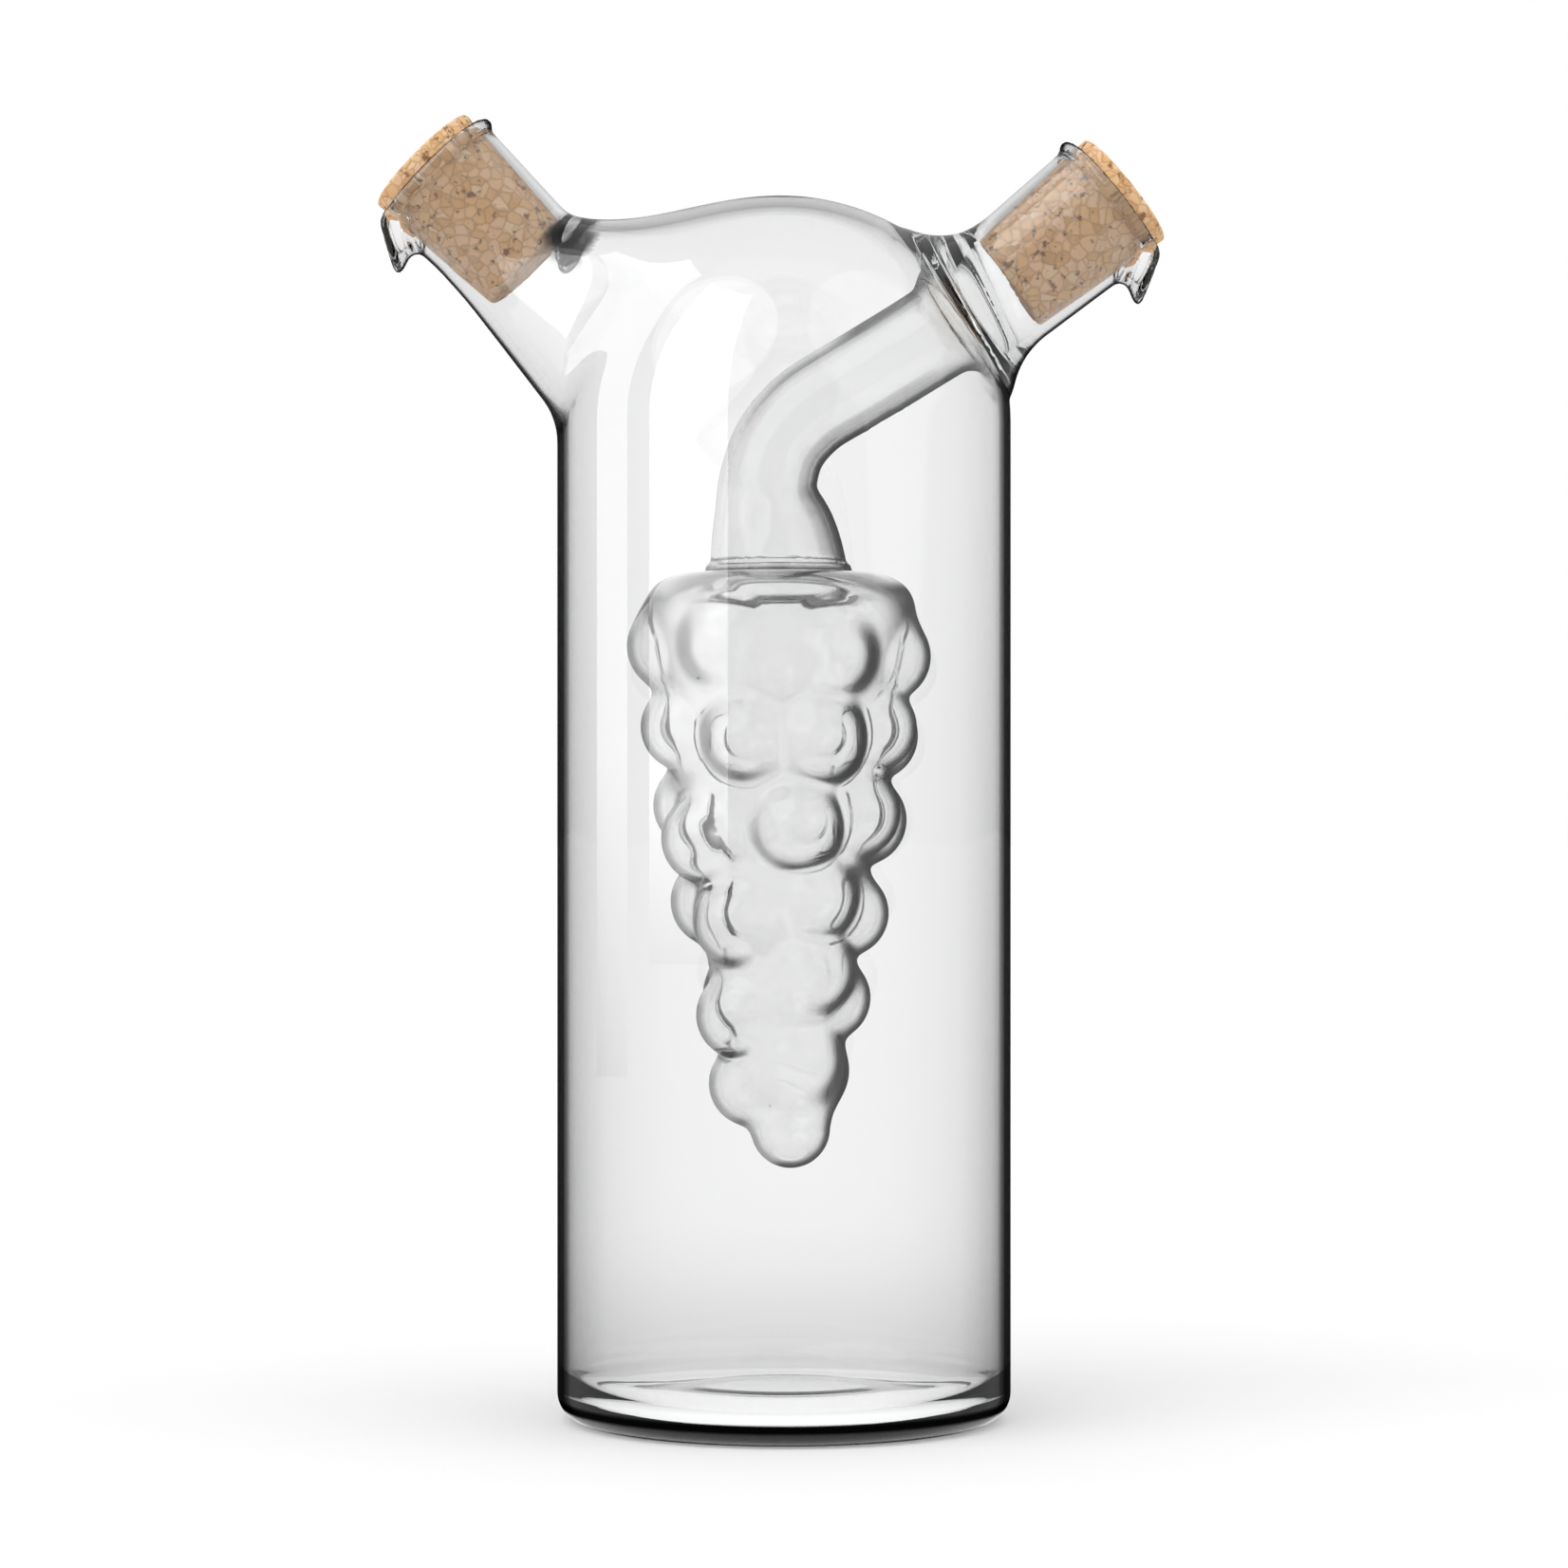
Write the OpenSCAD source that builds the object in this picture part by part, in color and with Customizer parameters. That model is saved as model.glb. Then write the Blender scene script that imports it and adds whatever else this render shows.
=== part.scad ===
// Oil and vinegar cruet: a blown glass bottle for oil, with a second glass vessel for vinegar
// sealed inside it. The inner vessel is a bunch of grapes on a bent stem. Each chamber has its own
// slanted spout with a pouring lip and a cork.
// Millimetres. The origin is the middle of the foot, on the table. +Z is up, the vinegar spout
// leans towards +X and the oil spout towards -X.

/* [Bottle] */
// Outside diameter of the straight wall
body_d = 64; // [60:1:70]
// Height of the straight wall, up to where the dome starts
straight_h = 140; // [134:1:160]
// Thickness of the blown wall
wall = 1.5; // [1.2:0.1:1.8]
// Outside radius of the bottom corner
corner_r = 4; // [3:0.5:6]
// Thickness of the glass floor
floor_t = 2.6; // [2:0.2:4]
// How far the middle of the floor is pushed up
punt_h = 2; // [1:0.2:3]
// Diameter of the level part of the pushed-up middle
punt_d = 28; // [20:1:34]
// Width of the ring that the bottle stands on
foot_w = 4; // [2:0.5:6]

/* [Spouts] */
// Thickness of the glass round the corks' inner ends
spout_wall = 1.6; // [1.1:0.1:1.8]
// Thickness of the glass behind the rim
rim_t = 1; // [0.9:0.1:1.2]
// Radius of the round bead along each rim
rim_bead = 0.6; // [0.5:0.1:0.7]
// Angle by which the mouth of the pouring lip looks away from the spout's axis
lip_tilt = 54; // [48:1:58]
// Half of the angle by which the lip opens
lip_spread = 36; // [32:1:38]
// Radius of the lip's mouth
lip_r = 6; // [5:0.5:6.5]
// How far the lip's tip lies below the rim
lip_drop = 4.6; // [3.6:0.2:5]
// How far the lip's tip stands off the rim's outside
lip_proud = 4; // [3:0.2:5]
// Glass thickness of the pouring lip
lip_t = 1; // [0.9:0.1:1.4]

/* [Oil spout] */
// Angle of the oil spout above level
oil_angle = 45; // [42:1:48]
// How far the spout's axis passes below the middle of the dome
oil_drop = 9.4; // [8:0.2:10]
// Length of the spout's axis outside the dome
oil_len = 30; // [26:0.5:34]
// Angle above level of the trumpet that joins the spout to the dome
trumpet_angle = 32.5; // [31:0.5:35]
// Half of the angle that the trumpet's foot takes up on the dome
trumpet_spread = 31; // [28:0.5:31]

/* [Vinegar spout] */
// Angle of the vinegar spout above level
vinegar_angle = 39; // [37:1:42]
// How far the spout's axis passes below the middle of the dome
vinegar_drop = 4.2; // [2:0.2:6]
// Length of the spout's axis outside the dome
vinegar_len = 24.5; // [21:0.5:28]
// Depth of the ring seal below the dome's surface
seal_depth = 3.6; // [3:0.2:5]
// Radius of the hollow fillet between the dome and the vinegar spout
seal_fillet = 5.8; // [3:0.2:6]

/* [Stem] */
// Outside diameter of the bent tube
stem_d = 13; // [11:0.5:14]
// Thickness of its glass
stem_wall = 1.3; // [1:0.1:1.6]
// Angle above level of its slanted part
stem_slant = 30.5; // [27:0.5:33]
// Radius of the bend, along the middle of the tube
bend_r = 12; // [10:0.5:14]
// Distance of the upright part from the bottle's axis, towards the oil spout
stem_offset = 1; // [0:0.2:1.4]
// Depth of the bunch's top below the point where the tube's two axes cross
stem_drop = 19.6; // [18.6:0.2:24]
// Height over which the tube widens onto the bunch
flare_h = 10.5; // [8:0.5:11]
// Radius of the hollow curve by which it widens
flare_r = 18; // [16:1:26]
// Radius of the bead of glass where it is welded to the bunch
weld_r = 0.7; // [0.4:0.1:0.9]
// How far the glass of the bend stands proud of the straight parts
bend_swell = 0.05; // [0.05:0.01:0.1]

/* [Bunch of grapes] */
// Height of the bunch
bunch_h = 84; // [78:1:90]
// Outside diameter of the bunch's body at its shoulder, without the grapes
bunch_d = 38.6; // [36:0.2:40]
// Radius of the round shoulder
shoulder_r = 7; // [6:0.5:7]
// Radius of the round tip
tip_r = 4.4; // [3.6:0.2:5]
// Thickness of the bunch's glass
bunch_wall = 1.2; // [1:0.1:1.4]
// Radius of a grape
grape_r = 5.3; // [4.8:0.1:5.6]
// How far a grape's middle lies under the surface of the body
grape_sink = 2.4; // [2:0.1:2.8]
// Number of rows of grapes
rows = 6; // [4:1:6]
// Height between rows
row_pitch = 11.1; // [10.8:0.1:11.8]
// Depth of the first row below the top of the bunch
first_row = 11.4; // [11:0.2:12]
// Width of ring that each grape takes up
grape_pitch = 10.4; // [10:0.2:13]
// Turn from the front of the first row's first grape
first_turn = 24; // [0:1:40]
// Turn from each row to the next
row_turn = 41; // [30:1:50]

/* [Corks] */
// Diameter of a cork's outer face
cork_d = 18; // [17.4:0.1:19]
// Diameter of its inner face
cork_end_d = 14.8; // [14.2:0.1:15.4]
// Length of a cork
cork_len = 22; // [19:0.5:24]
// How far it stands out of the rim
cork_out = 2.5; // [2:0.5:6]
// Chamfer round both faces
cork_chamfer = 0.5; // [0.3:0.1:0.8]
// Clearance between a cork and its bore
cork_fit = 0.05; // [0.03:0.01:0.08]

/* [Hidden] */
$fn = 96;
// How far a cutter runs on past what it cuts
overrun = 1;

body_r = body_d / 2;
dome_z = straight_h;
ring_out_r = body_r - corner_r;
ring_in_r = ring_out_r - foot_w;
// Inside radius of the bottom corner, never sharp
hollow_corner_min = 1;
hollow_corner_r = max(corner_r - wall, hollow_corner_min);

cork_slope = (cork_d - cork_end_d) / 2 / cork_len;
cork_in = cork_len - cork_out;
bore_end_r = cork_end_d / 2 + cork_fit;
bore_rim_r = bore_end_r + cork_in * cork_slope;
neck_r = bore_end_r + spout_wall;
rim_r = bore_rim_r + rim_t - rim_bead * cork_slope;
// Share of the bead's radius by which its middle lies inside the spout's outer surface
bead_inset = 0.8;
// How far the lip's edge lies below the rim
lip_below = rim_bead / 2;
// Height of the lip's cone, and the step along its axis that leaves the lip's thickness
lip_h = lip_r / tan(lip_spread);
lip_step = lip_t / sin(lip_spread);
// Radius at which the cone starts, inside the bore
lip_start_r = 1;
// How far the hollow of the lip runs on past its mouth, to clear the whole rim
lip_overrun = 3;
// Radius of the cutter that trims the lip, well past its edge
lip_trim_r = 2 * cork_d;

oil_reach = sqrt(body_r * body_r - oil_drop * oil_drop);
oil_rim = oil_reach + oil_len;
oil_kink = trumpet_angle - oil_angle;
// Where the trumpet's axis, from the middle of the dome, meets the spout's axis
kink_reach = oil_drop / sin(-oil_kink);
kink_on_spout = kink_reach * cos(oil_kink);
// How much wider than the spout the trumpet ends, so that the spout grows out of it
trumpet_spare = 0.5;
trumpet_end_r = neck_r + trumpet_spare;
trumpet_r = (trumpet_end_r - body_r * sin(trumpet_spread)) / (sin(trumpet_spread) - 1);
trumpet_reach = drawn_reach(trumpet_spread, trumpet_r);
// Where the spout's own outline starts, inside the end of the trumpet
oil_start = min(kink_on_spout, oil_rim - cork_in - trumpet_spare);

vinegar_reach = sqrt(body_r * body_r - vinegar_drop * vinegar_drop);
vinegar_rim = vinegar_reach + vinegar_len;
seal_at = vinegar_reach - seal_depth;
seal_step = neck_r - stem_d / 2;
stem_meets = seal_at - seal_step;
// Angle above level at which the spout's axis leaves the dome, seen from the dome's middle
seal_angle = vinegar_angle - asin(vinegar_drop / body_r);
// How far the fillet's top edge stands off the spout
seal_proud = 0.5;
seal_end_r = neck_r + seal_proud;
seal_spread = asin((seal_end_r + seal_fillet) / (body_r + seal_fillet));
// How much narrower than the stem the seal's cone starts, inside the stem's end
seal_tuck = 0.4;

stem_r = stem_d / 2;
stem_x = -stem_offset;
meet_x = vinegar_drop * sin(vinegar_angle) + stem_meets * cos(vinegar_angle);
meet_z = dome_z - vinegar_drop * cos(vinegar_angle) + stem_meets * sin(vinegar_angle);
stem_turn = 90 - stem_slant;
axes_cross_z = meet_z - (meet_x - stem_x) * tan(stem_slant);
bend_z = axes_cross_z - bend_r * tan(stem_turn / 2);
bend_end_x = stem_x + bend_r - bend_r * cos(stem_turn);
bend_end_z = bend_z + bend_r * sin(stem_turn);
slant_len = (meet_x - bend_end_x) / cos(stem_slant);
// How far each straight part of the stem runs on into the bend
bend_overlap = 0.8;
// How many walls deep the stem's hollow opens into the bunch
stem_open = 2;
weld_at = stem_r + flare_r - sqrt(flare_r * flare_r - flare_h * flare_h);

bunch_top = axes_cross_z - stem_drop;
bunch_r = bunch_d / 2;
shoulder_z = bunch_top - shoulder_r;
tip_z = bunch_top - bunch_h + tip_r;

// Radius of the bunch's body at a height
function body_at(z) = tip_r + (bunch_r - tip_r) * (z - tip_z) / (shoulder_z - tip_z);
function row_z(row) = bunch_top - first_row - row * row_pitch;
function ring_r(row) = body_at(row_z(row)) - grape_sink;
function grapes_in(row) = max(3, round(2 * PI * ring_r(row) / grape_pitch));
// Height above the dome's middle at which glass drawn out of the dome ends
function drawn_reach(spread, curve_r) = (body_r + curve_r) * cos(spread);

// Stands its children on a spout's axis: local +Z leads out of the mouth, and local +X is the
// side that pours. The local origin is the point of the axis nearest to the middle of the dome.
module on_spout(angle, drop, towards_oil) {
    mirror([towards_oil ? 1 : 0, 0, 0])
        translate([drop * sin(angle), 0, dome_z - drop * cos(angle)])
            rotate([0, 90 - angle, 0])
                children();
}

module on_oil_spout() {
    on_spout(oil_angle, oil_drop, true) children();
}

module on_vinegar_spout() {
    on_spout(vinegar_angle, vinegar_drop, false) children();
}

// The bore that holds a cork, from a starting height to past the rim
module cork_bore(start_at, rim_at) {
    rotate_extrude()
        polygon([
            [0, start_at],
            [bore_end_r, start_at],
            [bore_end_r, rim_at - cork_in],
            [bore_rim_r + overrun * cork_slope, rim_at + overrun],
            [0, rim_at + overrun]
        ]);
}

// The cone of the pouring lip. Its mouth looks out and down the spout's side, and the lowest point
// of the mouth is the lip's tip. The cone is moved out by a step, and runs past its mouth, to
// hollow the lip.
module lip_cone(rim_at, step, run) {
    start = lip_start_r / tan(lip_spread);
    translate([rim_r + lip_proud, 0, rim_at - lip_drop])
        rotate([0, lip_tilt, 0])
            translate([-lip_r, 0, start + step - lip_h])
                cylinder(
                    r1 = lip_start_r,
                    r2 = lip_start_r + (lip_h - start + run) * tan(lip_spread),
                    h = lip_h - start + run
                );
}

// Outside of a spout: the outline that leads up to the cork's inner face, then tapered glass
// round the cork, a bead along the rim, and the pouring lip
module spout_outside(start, rim_at) {
    rotate_extrude()
        union() {
            polygon(concat(start, [
                [neck_r, rim_at - cork_in],
                [rim_r, rim_at - rim_bead],
                [0, rim_at - rim_bead]
            ]));
            translate([rim_r - bead_inset * rim_bead, rim_at - rim_bead])
                circle(r = rim_bead);
        }
    intersection() {
        lip_cone(rim_at, 0, 0);
        cylinder(r = lip_trim_r, h = rim_at - lip_below);
    }
}

// Stands its children on a line from the middle of the dome, at an angle above level
module on_dome(angle, towards_oil) {
    mirror([towards_oil ? 1 : 0, 0, 0])
        translate([0, 0, dome_z])
            rotate([0, 90 - angle, 0])
                children();
}

// Glass drawn out of the dome in a hollow curve. It leaves the dome at a half angle, the spread,
// and ends where it has narrowed to end_r. A thinner one hollows it.
module drawn_out(spread, curve_r, end_r, thinner) {
    reach = drawn_reach(spread, curve_r);
    foot_r = body_r - thinner;
    rotate_extrude()
        difference() {
            polygon([
                [0, 0],
                [foot_r * sin(spread), foot_r * cos(spread)],
                [end_r, reach],
                [0, reach]
            ]);
            translate([(body_r + curve_r) * sin(spread), reach])
                circle(r = curve_r + thinner);
        }
}

// The trumpet between the dome and the oil spout, with a round end where their axes cross
module trumpet(thinner) {
    end_r = trumpet_end_r - thinner;
    on_dome(trumpet_angle, true) {
        drawn_out(trumpet_spread, trumpet_r, end_r, thinner);
        translate([0, 0, trumpet_reach])
            cylinder(r = end_r, h = kink_reach - trumpet_reach);
        translate([0, 0, kink_reach])
            sphere(r = end_r);
    }
}

// Inside or outside of the bottle's body and dome, as one turned outline
module bottle_outline(r, corner, bottom) {
    rotate_extrude()
        union() {
            translate([0, bottom])
                square([r - corner, dome_z - bottom]);
            translate([0, bottom + corner])
                square([r, dome_z - bottom - corner]);
            translate([r - corner, bottom + corner])
                circle(r = corner);
            translate([0, dome_z])
                intersection() {
                    circle(r = r);
                    square([r, r]);
                }
        }
}

// The hollow under the floor, or the mound that it makes inside
module punt(base_r, lift) {
    translate([0, 0, lift])
        cylinder(r1 = base_r, r2 = punt_d / 2, h = punt_h);
}

module outer_bottle() {
    color([0.86, 0.9, 0.89, 0.45])
        difference() {
            union() {
                difference() {
                    union() {
                        bottle_outline(body_r, corner_r, 0);
                        trumpet(0);
                        on_oil_spout() spout_outside([[0, oil_start], [neck_r, oil_start]], oil_rim);
                        on_dome(seal_angle, false)
                            drawn_out(seal_spread, seal_fillet, seal_end_r, 0);
                    }
                    difference() {
                        bottle_outline(body_r - wall, hollow_corner_r, floor_t);
                        punt(ring_in_r, floor_t);
                    }
                    trumpet(wall);
                    on_oil_spout() {
                        cork_bore(oil_start, oil_rim);
                        lip_cone(oil_rim, lip_step, lip_overrun);
                    }
                    translate([0, 0, -overrun])
                        cylinder(r = ring_in_r, h = overrun);
                    punt(ring_in_r, 0);
                }
                on_vinegar_spout()
                    translate([0, 0, seal_at])
                        cylinder(r = neck_r + wall, h = seal_depth);
            }
            on_vinegar_spout()
                translate([0, 0, seal_at - overrun])
                    cylinder(r = neck_r, h = vinegar_rim);
        }
}

// The grapes of the bunch, or with thinner their hollow insides
module grapes(thinner) {
    for (row = [0 : rows - 1])
        for (i = [0 : grapes_in(row) - 1])
            rotate([0, 0, first_turn - 90 + row * row_turn + i * 360 / grapes_in(row)])
                translate([ring_r(row), 0, row_z(row)])
                    sphere(r = grape_r - thinner);
}

// The bunch's tapered body, with a round shoulder and a round tip
module bunch_body(thinner) {
    rotate_extrude()
        union() {
            polygon([
                [0, tip_z],
                [tip_r - thinner, tip_z],
                [bunch_r - thinner, shoulder_z],
                [bunch_r - shoulder_r, bunch_top - thinner],
                [0, bunch_top - thinner]
            ]);
            translate([bunch_r - shoulder_r, shoulder_z])
                circle(r = shoulder_r - thinner);
            translate([0, tip_z])
                intersection() {
                    circle(r = tip_r - thinner);
                    translate([0, -tip_r])
                        square(2 * tip_r);
                }
        }
}

// The bent tube from the bunch to the ring seal
module stem(thinner) {
    r = stem_r - thinner;
    foot_z = bunch_top - (thinner > 0 ? stem_open * thinner : weld_r);
    translate([stem_x, 0, 0])
        rotate_extrude()
            union() {
                difference() {
                    translate([0, foot_z])
                        square([r + flare_h, bend_z + bend_overlap - foot_z]);
                    translate([stem_r + flare_r, bunch_top + flare_h])
                        circle(r = flare_r + thinner);
                    translate([r, bunch_top + flare_h])
                        square([flare_h + overrun, bend_z - bunch_top]);
                }
                if (thinner == 0)
                    translate([weld_at, bunch_top])
                        circle(r = weld_r);
            }
    translate([stem_x + bend_r, 0, bend_z])
        rotate([90, 0, 0])
            rotate([0, 0, 180 - stem_turn])
                rotate_extrude(angle = stem_turn)
                    translate([bend_r, 0])
                        circle(r = r + bend_swell);
    translate([bend_end_x, 0, bend_end_z])
        rotate([0, stem_turn, 0])
            translate([0, 0, -bend_overlap])
                cylinder(r = r, h = slant_len + bend_overlap + seal_step);
}

module inner_vessel() {
    color([0.8, 0.88, 0.86, 0.6])
        difference() {
            union() {
                bunch_body(0);
                grapes(0);
                stem(0);
                on_vinegar_spout()
                    spout_outside(
                        [[0, stem_meets], [stem_r - seal_tuck, stem_meets], [neck_r, seal_at]],
                        vinegar_rim
                    );
            }
            bunch_body(bunch_wall);
            grapes(bunch_wall);
            stem(stem_wall);
            on_vinegar_spout() {
                translate([0, 0, stem_meets])
                    cylinder(r1 = stem_r - stem_wall - seal_tuck, r2 = bore_end_r, h = seal_step);
                cork_bore(seal_at - seal_tuck, vinegar_rim);
                lip_cone(vinegar_rim, lip_step, lip_overrun);
            }
        }
}

// A tapered cork, pushed in up to its place past the rim
module cork(rim_at) {
    r1 = cork_end_d / 2;
    r2 = cork_d / 2;
    translate([0, 0, rim_at - cork_in])
        rotate_extrude()
            polygon([
                [0, 0],
                [r1 - cork_chamfer, 0],
                [r1 + cork_chamfer * cork_slope, cork_chamfer],
                [r2 - cork_chamfer * cork_slope, cork_len - cork_chamfer],
                [r2 - cork_chamfer, cork_len],
                [0, cork_len]
            ]);
}

module oil_cork() {
    color([0.8, 0.62, 0.46])
        on_oil_spout() cork(oil_rim);
}

module vinegar_cork() {
    color([0.8, 0.62, 0.46])
        on_vinegar_spout() cork(vinegar_rim);
}

outer_bottle();
inner_vessel();
oil_cork();
vinegar_cork();
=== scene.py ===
"""Looks of the oil and vinegar cruet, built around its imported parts.

The glass is one fused piece, so it is made as one closed surface: a distance field gives the blown
forms with their welds, fillets and rims, and a turned outline gives the straight wall and the foot.
Sizes of the form are in millimetres, and the pieces are made in metres.
"""

import logging
import math
from dataclasses import dataclass, field, fields
from enum import Enum
from typing import Callable, Dict, List, Optional, Sequence, Tuple, Union

import bpy
import numpy as np
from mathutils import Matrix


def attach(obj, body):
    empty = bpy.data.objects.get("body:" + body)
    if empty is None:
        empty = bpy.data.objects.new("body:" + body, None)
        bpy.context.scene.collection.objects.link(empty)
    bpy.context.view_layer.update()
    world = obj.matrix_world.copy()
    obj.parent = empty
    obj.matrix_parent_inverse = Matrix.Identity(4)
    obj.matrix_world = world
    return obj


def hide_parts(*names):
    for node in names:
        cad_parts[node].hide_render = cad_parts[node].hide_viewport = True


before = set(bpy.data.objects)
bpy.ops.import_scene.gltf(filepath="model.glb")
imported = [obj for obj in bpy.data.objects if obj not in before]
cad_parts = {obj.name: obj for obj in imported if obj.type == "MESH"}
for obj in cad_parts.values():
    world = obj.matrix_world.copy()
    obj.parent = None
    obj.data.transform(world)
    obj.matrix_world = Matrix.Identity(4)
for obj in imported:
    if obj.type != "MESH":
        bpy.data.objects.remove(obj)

logging.basicConfig(level=logging.INFO, format="%(message)s")
LOG = logging.getLogger("cruet")

MM = 0.001
Array = np.ndarray
Number = Union[float, np.ndarray]
Point = Tuple[float, float]
Face = Tuple[int, ...]
Colour = Tuple[float, float, float, float]
Socket = bpy.types.NodeSocket
Value = Union[float, Colour, Socket]
WHITE: Colour = (1.0, 1.0, 1.0, 1.0)


class Side(Enum):
    """Which way a spout leans along X."""

    OIL = -1.0
    VINEGAR = 1.0


class Body(Enum):
    """The bodies that pieces ride on."""

    BOTTLE = "bottle"
    OIL_STOPPER = "oil_stopper"
    VINEGAR_STOPPER = "vinegar_stopper"


class Slot(Enum):
    """The record's material slots."""

    GLASS = "clear_glass"
    CORK = "cork"


# Distance tools


def soft_union(a: Number, b: Number, reach: Number) -> Array:
    """Joins two solids with a fillet.

    Args:
        a: distance from the first solid.
        b: distance from the second solid.
        reach: how far from the crease the fillet starts.

    Returns:
        Distance from the joined solid.
    """
    share = np.clip(0.5 + 0.5 * (b - a) / reach, 0.0, 1.0)
    return b + (a - b) * share - reach * share * (1.0 - share)


def soft_cut(a: Number, b: Number, reach: Number) -> Array:
    """Keeps what lies in both solids, with a rounded edge.

    Args:
        a: distance from the first solid.
        b: distance from the second solid.
        reach: how far from the edge the rounding starts.

    Returns:
        Distance from what both share.
    """
    return -soft_union(-a, -b, reach)


def ramp(value: Number, start: float, end: float) -> Array:
    """Rises smoothly from 0 at start to 1 at end.

    Args:
        value: where to read the ramp.
        start: value at which it leaves 0.
        end: value at which it reaches 1.

    Returns:
        The ramp's height.
    """
    share = np.clip((value - start) / (end - start), 0.0, 1.0)
    return share * share * (3.0 - 2.0 * share)


@dataclass(frozen=True)
class SlantedLine:
    """A line in the upright plane that both spouts lie in.

    Args:
        foot: x and z of the point that lengths are counted from.
        angle: degrees above level.
        side: the way it leans.
    """

    foot: Point
    angle: float
    side: Side

    def local(self, x: Array, z: Array) -> Tuple[Array, Array]:
        """Turns places into lengths along the line.

        Args:
            x: places along X.
            z: heights.

        Returns:
            The length along the line, and the offset to its lower side.
        """
        a = math.radians(self.angle)
        s = self.side.value
        rx, rz = x - self.foot[0], z - self.foot[1]
        return rx * s * math.cos(a) + rz * math.sin(a), rx * s * math.sin(a) - rz * math.cos(a)

    def world(self, along: Array, across: Array) -> Tuple[Array, Array]:
        """Turns lengths along the line back into places.

        Args:
            along: the lengths.
            across: the offsets to the line's lower side.

        Returns:
            The places' x and z.
        """
        a = math.radians(self.angle)
        s = self.side.value
        x = self.foot[0] + s * (along * math.cos(a) + across * math.sin(a))
        return x, self.foot[1] + along * math.sin(a) - across * math.cos(a)


# Glass forms


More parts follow.
